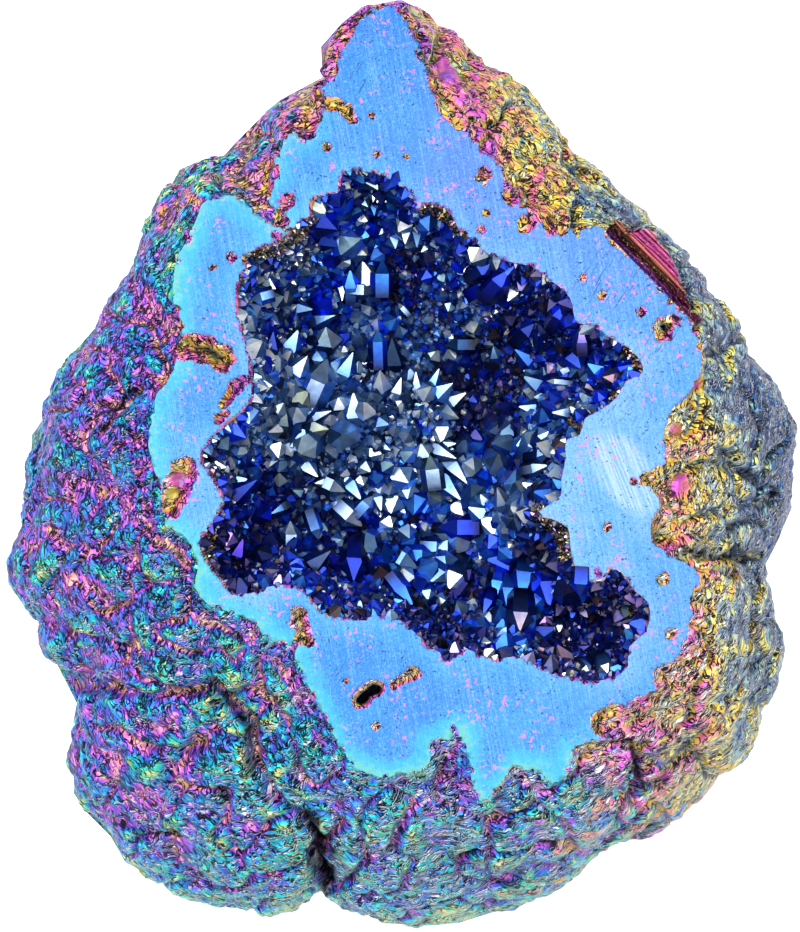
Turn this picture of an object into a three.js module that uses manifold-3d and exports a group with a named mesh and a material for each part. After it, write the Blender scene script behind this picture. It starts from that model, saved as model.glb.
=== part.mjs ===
// Half of a quartz geode with a titanium coating, lying on its back with the ground face up.
// Millimetres, +Z up. The origin is the middle of the base, on the surface that the stone rests on.
// The stone, its ground rim and the crystals that line its hollow grew together, so they are one solid.

import * as THREE from 'three';
import { mergeVertices } from 'three/addons/utils/BufferGeometryUtils.js';
import Module from 'manifold-3d';

// Driving dimensions. The outlines below give the width, 79.3, and the length, 92.8.
const FACE_HEIGHT = 38;          // from the surface below up to the ground face
const BOWL_DEPTH = 17;           // from the ground face down to the tips of the small crystals
const MOUND_RISE = 5;            // bulge of the hollow's floor
const MOUND_SPREAD = 9;
const MOUND_MIDDLE = [-4, 2.5];
const BASE_SHARE = 0.3;          // size of the flat at the bottom, as a share of the plan outline
const CRYSTAL_COUNT = 72;
const CRYSTAL_RADIUS = { least: 1.15, most: 2.2 };
const CRYSTAL_CLEARANCE = 2.5;   // from the highest crystal tip up to the ground face
const CRYSTAL_POINT = 1.5;       // height of a crystal's pointed end, in radii
const CRYSTAL_SUNK = 1.6;        // how deep a crystal's foot stands in the floor, in radii
const CRYSTAL_STANDS = { least: 1.9, most: 3.1 };   // how far it stands up, in radii
const CRYSTAL_LEAN = { middle: 0.25, wall: 0.75 };  // radians, at random and towards the wall
const CRYSTAL_HEADING_SPREAD = 1.6;                 // radians either side of straight inwards
const CRYSTALS_REACH = 0.9;      // share of the way out to the mouth's edge

// Middles that every point of an outline can be seen from.
const STONE_MIDDLE = [0, 1.5];
const HOLLOW_MIDDLE = [5, -1.5];

// How finely the outlines are sampled.
const STONE_SIDES = 128;
const HOLLOW_SIDES = 92;

// Widest outline of the stone, seen from above, clockwise from the tip.
const STONE_OUTLINE = [
  [-2.3, 46.4], [0.5, 46.0], [2.5, 45.0], [6.9, 41.7], [10.2, 39.6], [13.5, 36.3], [15.3, 33.7],
  [17.6, 31.2], [20.8, 28.1], [21.9, 26.4], [24.5, 25.3], [26.8, 23.5], [28.8, 20.7], [31.6, 16.7],
  [34.0, 13.3], [35.1, 10.8], [36.9, 8.7], [38.1, 6.7], [39.5, 4.6], [39.7, 2.8], [39.0, 0.6],
  [39.4, -1.1], [38.8, -4.7], [37.9, -7.2], [36.4, -9.0], [36.9, -11.2], [38.1, -15.0],
  [38.6, -18.7], [38.1, -21.0], [37.1, -23.9], [35.8, -26.9], [34.6, -30.0], [32.6, -31.0],
  [30.3, -33.0], [26.1, -36.8], [20.0, -39.7], [15.8, -42.2], [13.0, -44.1], [9.1, -45.2],
  [5.3, -46.2], [-0.8, -46.5], [-4.3, -45.8], [-6.2, -45.0], [-8.2, -42.6], [-11.1, -44.9],
  [-14.3, -45.4], [-17.8, -45.0], [-21.6, -43.7], [-25.0, -42.6], [-27.0, -40.5], [-30.4, -35.9],
  [-32.1, -34.3], [-32.9, -32.0], [-33.3, -29.0], [-33.3, -26.1], [-33.1, -23.8], [-31.6, -22.1],
  [-33.0, -20.9], [-34.7, -20.4], [-36.4, -18.6], [-37.8, -14.8], [-39.6, -11.8], [-39.7, -10.8],
  [-38.7, -8.5], [-38.7, -6.6], [-37.5, -3.3], [-37.9, -1.1], [-37.5, 1.3], [-35.7, 5.9],
  [-34.1, 9.6], [-31.6, 12.9], [-29.7, 15.4], [-28.6, 18.0], [-27.3, 18.7], [-27.0, 21.0],
  [-25.0, 23.8], [-24.0, 26.4], [-22.1, 29.2], [-17.6, 30.5], [-16.2, 31.5], [-14.2, 35.0],
  [-12.5, 35.5], [-9.9, 37.2], [-8.1, 37.2], [-7.9, 42.2], [-5.5, 45.3],
];

// Outer edge of the ground face, clockwise from the tip.
const FACE_OUTLINE = [
  [-3.3, 45.0], [-0.5, 45.5], [1.0, 42.9], [2.8, 37.8], [3.8, 35.0], [5.1, 33.7], [8.4, 30.9],
  [10.5, 29.7], [11.2, 27.6], [13.8, 24.1], [17.6, 22.8], [20.7, 23.4], [24.9, 18.5],
  [27.0, 16.5], [29.5, 14.0], [30.6, 10.5], [30.2, 8.3], [28.8, 6.4], [26.9, 3.9], [26.3, 0.3],
  [24.9, -1.3], [26.7, -3.5], [25.3, -6.6], [27.4, -7.8], [30.3, -11.4], [29.2, -14.4],
  [29.2, -16.6], [27.6, -19.8], [25.5, -21.4], [23.1, -23.9], [19.7, -25.0], [20.3, -27.1],
  [17.4, -28.4], [16.8, -30.9], [15.2, -31.8], [12.8, -30.3], [10.3, -30.7], [7.0, -30.3],
  [5.5, -27.5], [3.2, -27.8], [1.1, -30.7], [-1.7, -30.9], [-5.6, -28.8], [-8.0, -24.4],
  [-9.6, -21.0], [-12.1, -17.9], [-14.2, -16.0], [-18.6, -14.3], [-20.8, -11.9], [-21.6, -9.0],
  [-23.4, -6.0], [-24.0, -3.5], [-24.5, -0.7], [-25.2, 3.2], [-24.3, 7.9], [-22.5, 10.5],
  [-22.0, 13.9], [-22.4, 16.7], [-22.1, 18.9], [-20.4, 24.3], [-19.1, 26.4], [-17.0, 27.1],
  [-15.0, 26.2], [-13.2, 26.4], [-12.4, 29.9], [-10.7, 33.1], [-8.4, 32.4], [-7.4, 34.4],
  [-7.5, 38.1], [-6.4, 40.4], [-4.8, 43.4],
];

// Mouth of the hollow in the ground face, clockwise from its highest point.
const HOLLOW_OUTLINE = [
  [-3.4, 29.4], [-0.2, 28.1], [1.2, 27.0], [1.8, 25.3], [3.9, 25.9], [5.2, 25.1], [7.5, 22.3],
  [10.9, 20.3], [13.2, 19.8], [16.6, 17.3], [17.6, 14.4], [19.4, 13.9], [23.0, 11.6],
  [24.2, 9.5], [22.6, 8.4], [20.0, 5.5], [18.5, 4.6], [16.6, 2.0], [16.1, -1.7], [14.5, -4.2],
  [16.8, -6.3], [17.4, -9.8], [19.3, -12.0], [24.0, -15.0], [24.3, -17.0], [22.0, -21.0],
  [19.5, -21.6], [16.8, -21.2], [13.8, -19.9], [11.5, -19.2], [9.2, -19.4], [6.5, -18.4],
  [4.6, -19.5], [3.0, -18.1], [-0.6, -15.2], [-5.4, -15.4], [-7.7, -14.7], [-9.7, -12.4],
  [-11.3, -12.0], [-14.9, -12.9], [-16.6, -12.6], [-18.8, -10.1], [-19.7, -8.0], [-18.4, -5.6],
  [-17.5, -3.6], [-19.5, 0.1], [-19.7, 1.2], [-18.4, 2.8], [-15.4, 5.5], [-14.5, 6.9],
  [-14.9, 10.9], [-16.1, 16.5], [-16.1, 18.0], [-15.2, 19.8], [-15.6, 21.2], [-13.4, 21.7],
  [-11.3, 22.8], [-10.2, 24.3], [-8.8, 25.1], [-8.6, 26.6], [-6.6, 27.1], [-5.6, 29.3],
];

// Rounding of the rind between the face and the widest outline.
const RIND_BANDS = 4;
const RIND_START_ANGLE = THREE.MathUtils.degToRad(28);
const RIND_DROP = { least: 9, share: 0.72, most: 20 };
const BACK_BANDS = 5;
const LUMP_HEIGHT = 0.55;
const LUMP_WAVES = { wide: [0.52, 0.31, 0.47, 0.4], fine: [1.1, 0.7, 0.9], fineShare: 0.6 };
const BACK_LUMP_REACH = 40;      // a lump moves the back out by its height at this distance
const CALM_SPAN = 6;             // corners each way that smooth the outline towards the base
const DROP_SPAN = 4;             // corners each way that smooth the rind's drop

// The hollow's wall and floor: share of the way out from its middle, and share of the depth.
const BOWL_PROFILE = [[0.93, 0.36], [0.82, 0.66], [0.64, 0.88], [0.4, 0.98], [0.18, 1]];

const direction = (middle, [x, y]) => Math.atan2(y - middle[1], x - middle[0]);

// Repeatable number from 0 to 1 for item i and use k.
const vary = (i, k) => {
  const wave = Math.sin(i * 12.9898 + k * 78.233) * 43758.5453;
  return wave - Math.floor(wave);
};

// Distance from the middle to the outline in one direction.
function reach(outline, middle, angle) {
  const [dx, dy] = [Math.cos(angle), Math.sin(angle)];
  let farthest = 0;
  outline.forEach(([ax, ay], i) => {
    const [bx, by] = outline[(i + 1) % outline.length];
    const [ex, ey] = [bx - ax, by - ay];
    const cross = dx * ey - dy * ex;
    if (Math.abs(cross) < 1e-9) return;
    const [px, py] = [ax - middle[0], ay - middle[1]];
    const along = (px * ey - py * ex) / cross;
    const onEdge = (px * dy - py * dx) / cross;
    if (onEdge >= 0 && onEdge <= 1) farthest = Math.max(farthest, along);
  });
  return farthest;
}

// Directions, anticlockwise, that space the corners evenly along the outline.
function evenDirections(outline, middle, count) {
  const path = new THREE.CurvePath();
  const points = [...outline].reverse().map(([x, y]) => new THREE.Vector2(x, y));
  points.forEach((point, i) => {
    path.add(new THREE.LineCurve(point, points[(i + 1) % points.length]));
  });
  const spaced = path.getSpacedPoints(count).slice(0, count);
  return spaced.map((point) => direction(middle, [point.x, point.y]));
}

function ring(outline, middle, directions) {
  return directions.map((angle) => {
    const distance = reach(outline, middle, angle);
    return [middle[0] + distance * Math.cos(angle), middle[1] + distance * Math.sin(angle)];
  });
}

// Each value averaged with its neighbours round the ring.
function smoothed(values, span) {
  return values.map((_, i) => {
    let sum = 0;
    for (let k = -span; k <= span; k += 1) {
      sum += values[(i + k + values.length) % values.length];
    }
    return sum / (2 * span + 1);
  });
}

// Low knobs of the rind.
function lump(x, y, z) {
  const [xTurn, xRise, yTurn, yRise] = LUMP_WAVES.wide;
  const [fineX, fineY, fineZ] = LUMP_WAVES.fine;
  const wide = Math.sin(xTurn * x + xRise * z) * Math.cos(yTurn * y - yRise * z);
  const fine = Math.sin(fineX * x - fineY * y + fineZ * z);
  return LUMP_HEIGHT * (wide + LUMP_WAVES.fineShare * fine);
}

// Height of the hollow's lining at a plan point, for a share of the full depth.
function floorHeight(x, y, depthShare) {
  const away = Math.hypot(x - MOUND_MIDDLE[0], y - MOUND_MIDDLE[1]) / MOUND_SPREAD;
  return FACE_HEIGHT - BOWL_DEPTH * depthShare + MOUND_RISE * depthShare * Math.exp(-away * away);
}

// A surface built up ring by ring.
class Skin {
  constructor() {
    this.points = [];
    this.triangles = [];
  }

  addRing(points) {
    const first = this.points.length;
    this.points.push(...points);
    return points.map((_, i) => first + i);
  }

  // Band between two rings that turn the same way, the inner one on the left.
  band(outer, inner) {
    outer.forEach((a, i) => {
      const next = (i + 1) % outer.length;
      this.triangles.push([a, outer[next], inner[next]], [a, inner[next], inner[i]]);
    });
  }

  // Flat surface inside an anticlockwise ring, less a hole.
  flat(outer, hole = []) {
    const plan = (index) => new THREE.Vector2(this.points[index][0], this.points[index][1]);
    const all = [...outer, ...hole];
    const holes = hole.length ? [hole.map(plan)] : [];
    const cells = THREE.ShapeUtils.triangulateShape(outer.map(plan), holes);
    return cells.map((cell) => cell.map((corner) => all[corner]));
  }

  geometry() {
    const geometry = new THREE.BufferGeometry();
    geometry.setAttribute('position', new THREE.Float32BufferAttribute(this.points.flat(), 3));
    geometry.setIndex(this.triangles.flat());
    return geometry;
  }
}

// Anticlockwise seen from above, whichever way the triangulation turned.
function facingUp(skin, triangle) {
  const [a, b, c] = triangle.map((index) => skin.points[index]);
  const area = (b[0] - a[0]) * (c[1] - a[1]) - (c[0] - a[0]) * (b[1] - a[1]);
  return area >= 0 ? triangle : [triangle[0], triangle[2], triangle[1]];
}

function buildStone() {
  const skin = new Skin();
  const directions = evenDirections(STONE_OUTLINE, STONE_MIDDLE, STONE_SIDES);
  const widest = ring(STONE_OUTLINE, STONE_MIDDLE, directions);
  const faceEdge = ring(FACE_OUTLINE, STONE_MIDDLE, directions);
  const widths = widest.map(([x, y], i) => Math.hypot(x - faceEdge[i][0], y - faceEdge[i][1]));
  const drops = smoothed(widths.map((width) => THREE.MathUtils.clamp(
    RIND_DROP.least + RIND_DROP.share * width, RIND_DROP.least, RIND_DROP.most)), DROP_SPAN);

  // Ground face edge, then the rind down to the widest outline.
  const faceRing = skin.addRing(faceEdge.map(([x, y]) => [x, y, FACE_HEIGHT]));
  let lastRing = faceRing;
  for (let band = 1; band <= RIND_BANDS; band += 1) {
    const tilt = THREE.MathUtils.lerp(RIND_START_ANGLE, Math.PI / 2, band / RIND_BANDS);
    const outward = (Math.sin(tilt) - Math.sin(RIND_START_ANGLE)) / (1 - Math.sin(RIND_START_ANGLE));
    const upward = Math.cos(tilt) / Math.cos(RIND_START_ANGLE);
    const next = skin.addRing(widest.map(([x, y], i) => {
      const px = THREE.MathUtils.lerp(faceEdge[i][0], x, outward);
      const py = THREE.MathUtils.lerp(faceEdge[i][1], y, outward);
      const height = FACE_HEIGHT - drops[i] * (1 - upward);
      return [px, py, height + (band < RIND_BANDS ? lump(px, py, height) : 0)];
    }));
    skin.band(next, lastRing);
    lastRing = next;
  }

  // The back, in to the flat that the stone rests on, with its creases dying out on the way.
  const calm = [0, 1].map((axis) => smoothed(widest.map((point) => point[axis]), CALM_SPAN));
  for (let band = 1; band <= BACK_BANDS; band += 1) {
    const turn = (band / BACK_BANDS) * (Math.PI / 2);
    const share = BASE_SHARE + (1 - BASE_SHARE) * Math.cos(turn);
    const next = skin.addRing(widest.map((point, i) => {
      const [x, y] = point.map((value, axis) => (
        THREE.MathUtils.lerp(value, calm[axis][i], Math.sqrt(band / BACK_BANDS))));
      const height = (FACE_HEIGHT - drops[i]) * (1 - Math.sin(turn));
      const knob = band < BACK_BANDS ? 1 + lump(x, y, height) / BACK_LUMP_REACH : 1;
      const px = STONE_MIDDLE[0] + (x - STONE_MIDDLE[0]) * share * knob;
      const py = STONE_MIDDLE[1] + (y - STONE_MIDDLE[1]) * share * knob;
      return [px, py, band < BACK_BANDS ? height : 0];
    }));
    skin.band(next, lastRing);
    lastRing = next;
  }
  skin.flat(lastRing).forEach((triangle) => {
    const [a, b, c] = facingUp(skin, triangle);
    skin.triangles.push([a, c, b]);
  });

  // The hollow: its mouth, wall and floor.
  const mouthDirections = evenDirections(HOLLOW_OUTLINE, HOLLOW_MIDDLE, HOLLOW_SIDES);
  const mouth = ring(HOLLOW_OUTLINE, HOLLOW_MIDDLE, mouthDirections);
  const mouthRing = skin.addRing(mouth.map(([x, y]) => [x, y, FACE_HEIGHT]));
  skin.flat(faceRing, mouthRing).forEach((triangle) => skin.triangles.push(facingUp(skin, triangle)));
  lastRing = mouthRing;
  BOWL_PROFILE.forEach(([share, depthShare]) => {
    const next = skin.addRing(mouth.map(([x, y]) => {
      const px = HOLLOW_MIDDLE[0] + (x - HOLLOW_MIDDLE[0]) * share;
      const py = HOLLOW_MIDDLE[1] + (y - HOLLOW_MIDDLE[1]) * share;
      return [px, py, floorHeight(px, py, depthShare)];
    }));
    skin.band(lastRing, next);
    lastRing = next;
  });
  const [lowest] = skin.addRing([[...HOLLOW_MIDDLE, floorHeight(...HOLLOW_MIDDLE, 1)]]);
  lastRing.forEach((a, i) => skin.triangles.push([a, lastRing[(i + 1) % lastRing.length], lowest]));
  return skin.geometry();
}

// A six-sided prism with a six-sided point, standing on the origin along +Z.
function crystalGeometry(radius, length) {
  const tip = radius * CRYSTAL_POINT;
  const profile = [[0, 0], [radius * 1.05, 0], [radius, length - tip], [0, length]];
  const geometry = new THREE.LatheGeometry(profile.map(([x, y]) => new THREE.Vector2(x, y)), 6);
  geometry.rotateX(Math.PI / 2);
  return geometry;
}

// Where each large crystal stands, how big it is and which way it leans.
function crystalPlaces() {
  const goldenAngle = Math.PI * (3 - Math.sqrt(5));
  const places = [];
  for (let i = 0; i < CRYSTAL_COUNT; i += 1) {
    const share = CRYSTALS_REACH * Math.sqrt((i + 0.5) / CRYSTAL_COUNT);
    const angle = i * goldenAngle;
    const distance = share * reach(HOLLOW_OUTLINE, HOLLOW_MIDDLE, angle);
    const x = HOLLOW_MIDDLE[0] + distance * Math.cos(angle);
    const y = HOLLOW_MIDDLE[1] + distance * Math.sin(angle);
    const depthShare = Math.min(1, 1.75 * (1 - share) ** 0.55);
    const lean = CRYSTAL_LEAN.wall * share ** 3 + CRYSTAL_LEAN.middle * vary(i, 1);
    const heading = angle + Math.PI + CRYSTAL_HEADING_SPREAD * (vary(i, 2) - 0.5);
    const radius = THREE.MathUtils.lerp(CRYSTAL_RADIUS.least, CRYSTAL_RADIUS.most, vary(i, 3) ** 2);
    const sunk = radius * CRYSTAL_SUNK;
    const stands = THREE.MathUtils.lerp(CRYSTAL_STANDS.least, CRYSTAL_STANDS.most, vary(i, 4));
    const length = sunk + radius * stands;
    const foot = floorHeight(x, y, depthShare) - sunk;
    const height = Math.min(foot, FACE_HEIGHT - CRYSTAL_CLEARANCE - length);
    places.push({ x, y, height, radius, length, lean, heading, twist: vary(i, 5) * Math.PI });
  }
  return places;
}

function placedCrystal({ x, y, height, radius, length, lean, heading, twist }) {
  const geometry = crystalGeometry(radius, length);
  geometry.rotateZ(twist);
  geometry.rotateY(lean);
  geometry.rotateZ(heading);
  geometry.translate(x, y, height);
  return geometry;
}

// A closed geometry as a solid that can be joined, with its triangles of no area left out.
function toSolid(library, source) {
  const geometry = source.clone();
  geometry.deleteAttribute('normal');
  geometry.deleteAttribute('uv');
  const merged = mergeVertices(geometry, 1e-4);
  const triangles = [];
  for (let i = 0; i < merged.index.count; i += 3) {
    const corners = [0, 1, 2].map((k) => merged.index.getX(i + k));
    if (new Set(corners).size === 3) triangles.push(...corners);
  }
  return new library.Manifold(new library.Mesh({
    numProp: 3,
    vertProperties: Float32Array.from(merged.attributes.position.array),
    triVerts: Uint32Array.from(triangles),
  }));
}

function toGeometry(solid) {
  const mesh = solid.getMesh();
  const geometry = new THREE.BufferGeometry();
  geometry.setAttribute('position', new THREE.BufferAttribute(mesh.vertProperties, 3));
  geometry.setIndex(new THREE.BufferAttribute(mesh.triVerts, 1));
  geometry.computeVertexNormals();
  return geometry;
}

// The origin moves to the middle of the base.
function centred(geometry) {
  geometry.computeBoundingBox();
  const { min, max } = geometry.boundingBox;
  geometry.translate(-(min.x + max.x) / 2, -(min.y + max.y) / 2, -min.z);
  return geometry;
}

async function buildGeode() {
  const library = await Module();
  library.setup();
  const stone = toSolid(library, buildStone());
  const joined = crystalPlaces().reduce(
    (solid, place) => solid.add(toSolid(library, placedCrystal(place))), stone);
  const material = new THREE.MeshStandardMaterial({ color: 0x6fb2ee, roughness: 0.35, metalness: 0.2 });
  const geode = new THREE.Mesh(centred(toGeometry(joined)), material);
  geode.name = 'geode';
  return geode;
}

const part = new THREE.Group();
part.add(await buildGeode());

export default part;
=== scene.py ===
"""Looks of half a quartz geode with a titanium coating, lying on its back with the ground face up.

Lengths in the modelling code are millimetres in the frame of the CAD part, and become metres when a
mesh is made. The stone is grown from the CAD solid; the quartz points are closed meshes of their own.
"""

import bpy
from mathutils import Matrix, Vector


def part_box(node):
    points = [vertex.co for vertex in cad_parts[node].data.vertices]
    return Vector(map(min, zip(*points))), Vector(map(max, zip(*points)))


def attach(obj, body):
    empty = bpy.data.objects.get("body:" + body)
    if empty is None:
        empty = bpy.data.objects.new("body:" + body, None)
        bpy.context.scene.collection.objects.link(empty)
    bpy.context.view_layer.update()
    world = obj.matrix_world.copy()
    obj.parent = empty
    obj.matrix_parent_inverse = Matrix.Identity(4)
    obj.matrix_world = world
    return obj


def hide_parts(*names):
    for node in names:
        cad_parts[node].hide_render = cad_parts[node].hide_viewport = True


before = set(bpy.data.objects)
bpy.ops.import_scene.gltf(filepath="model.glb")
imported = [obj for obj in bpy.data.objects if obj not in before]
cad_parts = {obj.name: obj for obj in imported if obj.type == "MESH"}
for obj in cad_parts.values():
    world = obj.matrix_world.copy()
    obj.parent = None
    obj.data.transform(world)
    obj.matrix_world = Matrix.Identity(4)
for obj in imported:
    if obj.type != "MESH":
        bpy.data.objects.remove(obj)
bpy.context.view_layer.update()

import itertools
import math

import bmesh
import bpy
import numpy as np
from mathutils import Vector

MM = 0.001
NODE = "geode"
FACE_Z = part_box(NODE)[1][2] / MM

# ---------------------------------------------------------------- outlines seen from above

PHOTO_MIDDLE = (400, 465.5)   # where the photograph shows the origin, in pixels
PIXELS_PER_MM = 10

# Outer edge of the ground face, clockwise from the tip, in pixels of the photograph.
FACE_PIXELS = [
    (367, 15), (383, 10), (395, 10), (403, 23), (410, 36), (423, 59), (428, 87), (438, 115), (451, 128),
    (474, 143), (484, 156), (505, 168), (508, 180), (512, 189), (528, 204), (538, 224), (553, 235),
    (576, 237), (590, 232), (604, 231), (607, 236), (628, 256), (649, 280), (670, 300), (688, 318),
    (695, 325), (702, 339), (706, 360), (702, 382), (688, 401), (676, 409), (669, 426), (665, 444),
    (663, 462), (649, 478), (655, 488), (667, 500), (660, 514), (653, 531), (658, 543), (674, 543),
    (689, 545), (696, 565), (703, 579), (696, 591), (692, 609), (692, 631), (685, 645), (676, 663),
    (658, 668), (655, 679), (660, 691), (646, 693), (631, 704), (612, 708), (597, 715), (594, 724),
    (603, 736), (619, 738), (596, 750), (574, 749), (568, 774), (552, 783), (545, 775), (528, 768),
    (512, 772), (500, 792), (485, 800), (476, 790), (470, 768), (466, 743), (455, 724), (448, 738),
    (432, 743), (427, 761), (411, 772), (383, 774), (360, 767), (344, 753), (331, 732), (320, 709),
    (312, 694), (304, 675), (295, 656), (296, 644), (279, 644), (264, 635), (258, 625), (239, 615),
    (229, 611), (214, 608), (203, 600), (196, 586), (198, 570), (195, 556), (191, 543), (182, 533),
    (166, 525), (164, 518), (160, 500), (159, 486), (155, 472), (152, 454), (148, 433), (156, 419),
    (154, 401), (157, 386), (166, 376), (175, 365), (173, 356), (171, 347), (180, 336), (180, 326),
    (175, 311), (176, 298), (179, 276), (182, 263), (189, 245), (196, 222), (209, 201), (220, 196),
    (230, 194), (238, 198), (250, 210), (268, 221), (280, 231), (287, 230), (290, 222), (286, 214),
    (270, 204), (268, 197), (270, 189), (278, 168), (273, 161), (282, 148), (293, 134), (304, 142),
    (314, 142), (318, 130), (321, 120), (326, 112), (323, 102), (327, 98), (325, 84), (334, 79),
    (334, 61), (342, 54), (352, 31),
]

# Mouth of the hollow, clockwise from its highest point, in pixels of the photograph.
MOUTH_PIXELS = [
    (344, 172), (366, 171), (385, 176), (398, 184), (412, 195), (415, 205), (418, 212), (424, 204),
    (439, 206), (452, 214), (459, 230), (475, 242), (489, 255), (509, 262), (532, 267), (546, 278),
    (566, 292), (573, 306), (576, 321), (594, 326), (612, 339), (630, 349), (642, 364), (642, 374),
    (626, 381), (617, 397), (600, 410), (585, 419), (580, 434), (566, 440), (566, 457), (561, 482),
    (561, 496), (545, 507), (534, 515), (551, 519), (568, 528), (570, 543), (574, 563), (582, 578),
    (599, 584), (606, 577), (612, 570), (622, 572), (633, 589), (649, 603), (649, 624), (643, 635),
    (630, 647), (628, 662), (620, 675), (595, 681), (568, 677), (549, 672), (538, 664), (515, 657),
    (492, 659), (473, 651), (465, 649), (456, 656), (446, 660), (438, 651), (430, 646), (409, 628),
    (394, 617), (376, 616), (346, 619), (323, 612), (312, 600), (303, 589), (287, 585), (266, 587),
    (251, 594), (234, 591), (221, 578), (212, 566), (203, 551), (203, 537), (216, 521), (225, 501),
    (221, 491), (214, 476), (205, 464), (203, 453), (216, 437), (232, 421), (246, 410), (255, 396),
    (253, 383), (251, 356), (244, 335), (239, 312), (239, 285), (248, 267), (244, 253), (266, 248),
    (287, 237), (298, 222), (312, 214), (314, 199), (334, 194), (342, 187),
]


def from_photo(pixels):
    """Places, to the nearest 0.1 mm, of points that were read off the photograph."""
    return [(round((x - PHOTO_MIDDLE[0]) / PIXELS_PER_MM, 1), round((PHOTO_MIDDLE[1] - y) / PIXELS_PER_MM, 1))
            for x, y in pixels]


FACE_OUTLINE = from_photo(FACE_PIXELS)
MOUTH_OUTLINE = from_photo(MOUTH_PIXELS)

# Creases between the lobes of the rind: points, half width and depth.
CREASES = [
    ([(-18.9, -22.0), (-16.1, -24.8), (-15.1, -26.1), (-14.7, -29.9), (-13.0, -33.7), (-9.2, -36.1),
      (-8.2, -38.5), (-7.8, -41.0), (-7.7, -42.0)], 0.62, 2.6),
    ([(-32.5, -21.8), (-29.0, -22.3), (-24.5, -23.5), (-19.5, -22.3)], 0.7, 1.3),
    ([(-25.8, -29.0), (-22.6, -28.6), (-19.7, -27.9)], 0.5, 0.8),
    ([(-18.4, -35.7), (-17.0, -38.0), (-15.9, -39.9)], 0.5, 0.8),
    ([(-26.8, 7.7), (-28.4, 5.4), (-30.0, 3.3)], 0.5, 0.8),
    ([(32.0, 1.5), (34.6, -1.0), (37.2, -3.6)], 0.6, 1.2),
    ([(25.8, -7.2), (29.0, -8.4), (33.0, -9.0), (36.4, -8.9)], 0.7, 1.5),
    ([(24.4, -27.8), (23.6, -29.6), (24.0, -31.2), (23.1, -33.4)], 0.45, 1.6),
    ([(17.4, -28.6), (19.6, -28.3), (22.0, -27.6), (24.2, -27.9)], 0.35, 0.9),
]

# Gaps at the bottom of some creases, painted near black as shade: points and half width.
CLEFTS = [
    ([(-8.7, -34.8), (-8.0, -36.5), (-7.9, -38.5), (-7.5, -41.0), (-7.3, -44.5)], 0.95),
    ([(23.2, -27.8), (23.5, -29.6), (24.2, -31.2), (24.5, -32.3)], 0.36),
    ([(-18.7, -22.0), (-16.6, -24.4), (-15.2, -26.2), (-14.8, -29.2)], 0.22),
    ([(26.0, -7.3), (29.0, -8.5), (33.0, -9.1), (36.0, -9.0)], 0.22),
    ([(-26.8, 7.7), (-28.4, 5.4), (-30.0, 3.3)], 0.2), ([(32.4, 1.2), (34.6, -1.0), (37.0, -3.4)], 0.16),
]

# Crevices, cracks and pits in the ground face: points, half width and depth.
CREVICES = [
    ([(-22.9, 11.9), (-20.8, 11.9), (-19.0, 11.4), (-17.8, 10.7)], 0.75, 1.1),
    ([(-7.6, 36.2), (-6.0, 36.1), (-4.6, 34.6)], 0.3, 0.6),
    ([(-21.6, -0.6), (-22.3, -2.6), (-23.2, -4.0)], 0.85, 0.8),
    ([(-10.2, -14.9), (-10.0, -16.0), (-9.4, -17.4)], 0.5, 0.9),
    ([(-4.0, -23.6), (-3.4, -22.9), (-2.5, -22.3)], 0.45, 2.4),
    ([(-0.6, -21.9), (0.5, -21.2), (1.7, -20.8)], 0.3, 0.5),
    ([(-17.6, 6.2), (-16.9, 7.2), (-16.0, 8.3), (-15.3, 8.5)], 0.3, 0.6),
    ([(-18.2, 4.7), (-17.4, 5.0)], 0.3, 0.6),
    ([(26.4, 13.9), (26.5, 13.7)], 0.3, 1.2),
    ([(27.2, -16.9), (27.3, -16.8)], 0.35, 1.0),
]

# Shallow spots that the grinding missed: place and radius.
LOW_SPOTS = [
    (8.3, 28.8, 1.0), (11.2, 27.0, 0.9), (12.5, 24.0, 0.9), (8.6, 25.2, 0.4), (8.2, 23.6, 0.5),
    (-11.2, 26.6, 0.8), (-18.7, 19.8, 0.5), (-16.9, 20.8, 0.6), (-12.4, 23.0, 0.4), (-7.2, 31.8, 0.5),
    (-2.8, 35.0, 0.4), (-2.3, 31.1, 0.4), (0.6, 31.0, 0.3), (20.2, 17.0, 0.6), (24.0, 15.4, 0.7),
    (26.4, 13.5, 1.5), (18.3, 18.8, 0.4), (23.4, -1.6, 0.45), (24.6, -1.3, 0.5), (20.7, -6.2, 0.6),
    (26.3, -11.3, 0.8), (19.7, -10.8, 0.6), (-2.4, -26.1, 0.5), (-5.4, -21.5, 0.35), (5.2, 42.0, 0.3),
]

# ---------------------------------------------------------------- numbers over points in space


def gradient_noise(points, size, seed):
    """Smooth repeatable noise, about -0.7 to 0.7, whose lumps are about size across."""
    rng = np.random.RandomState(seed)
    table = rng.permutation(256)
    slopes = rng.normal(size=(256, 3))
    slopes /= np.linalg.norm(slopes, axis=1)[:, None]
    scaled = points / size
    cell = np.floor(scaled).astype(int)
    inside = scaled - cell
    fade = inside ** 3 * (inside * (inside * 6 - 15) + 10)
    total = np.zeros(len(points))
    for corner in np.ndindex(2, 2, 2):
        at = cell + corner
        pick = table[(table[(table[at[:, 0] & 255] + at[:, 1]) & 255] + at[:, 2]) & 255]
        rise = ((inside - corner) * slopes[pick]).sum(axis=1)
        total += rise * np.prod(np.where(corner, fade, 1 - fade), axis=1)
    return total


def noise_pair(points, size, seed):
    """Two columns of noise, for moving plan points about."""
    return np.column_stack([gradient_noise(points, size, seed + k) for k in (0, 1)])


def on_level(plan):
    """Plan points as points in space at height 0."""
    return np.column_stack([plan, np.zeros(len(plan))])


def square_away(plan, x, y):
    """Square of the distance of each plan point from one place."""
    return (plan[:, 0] - x) ** 2 + (plan[:, 1] - y) ** 2


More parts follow.
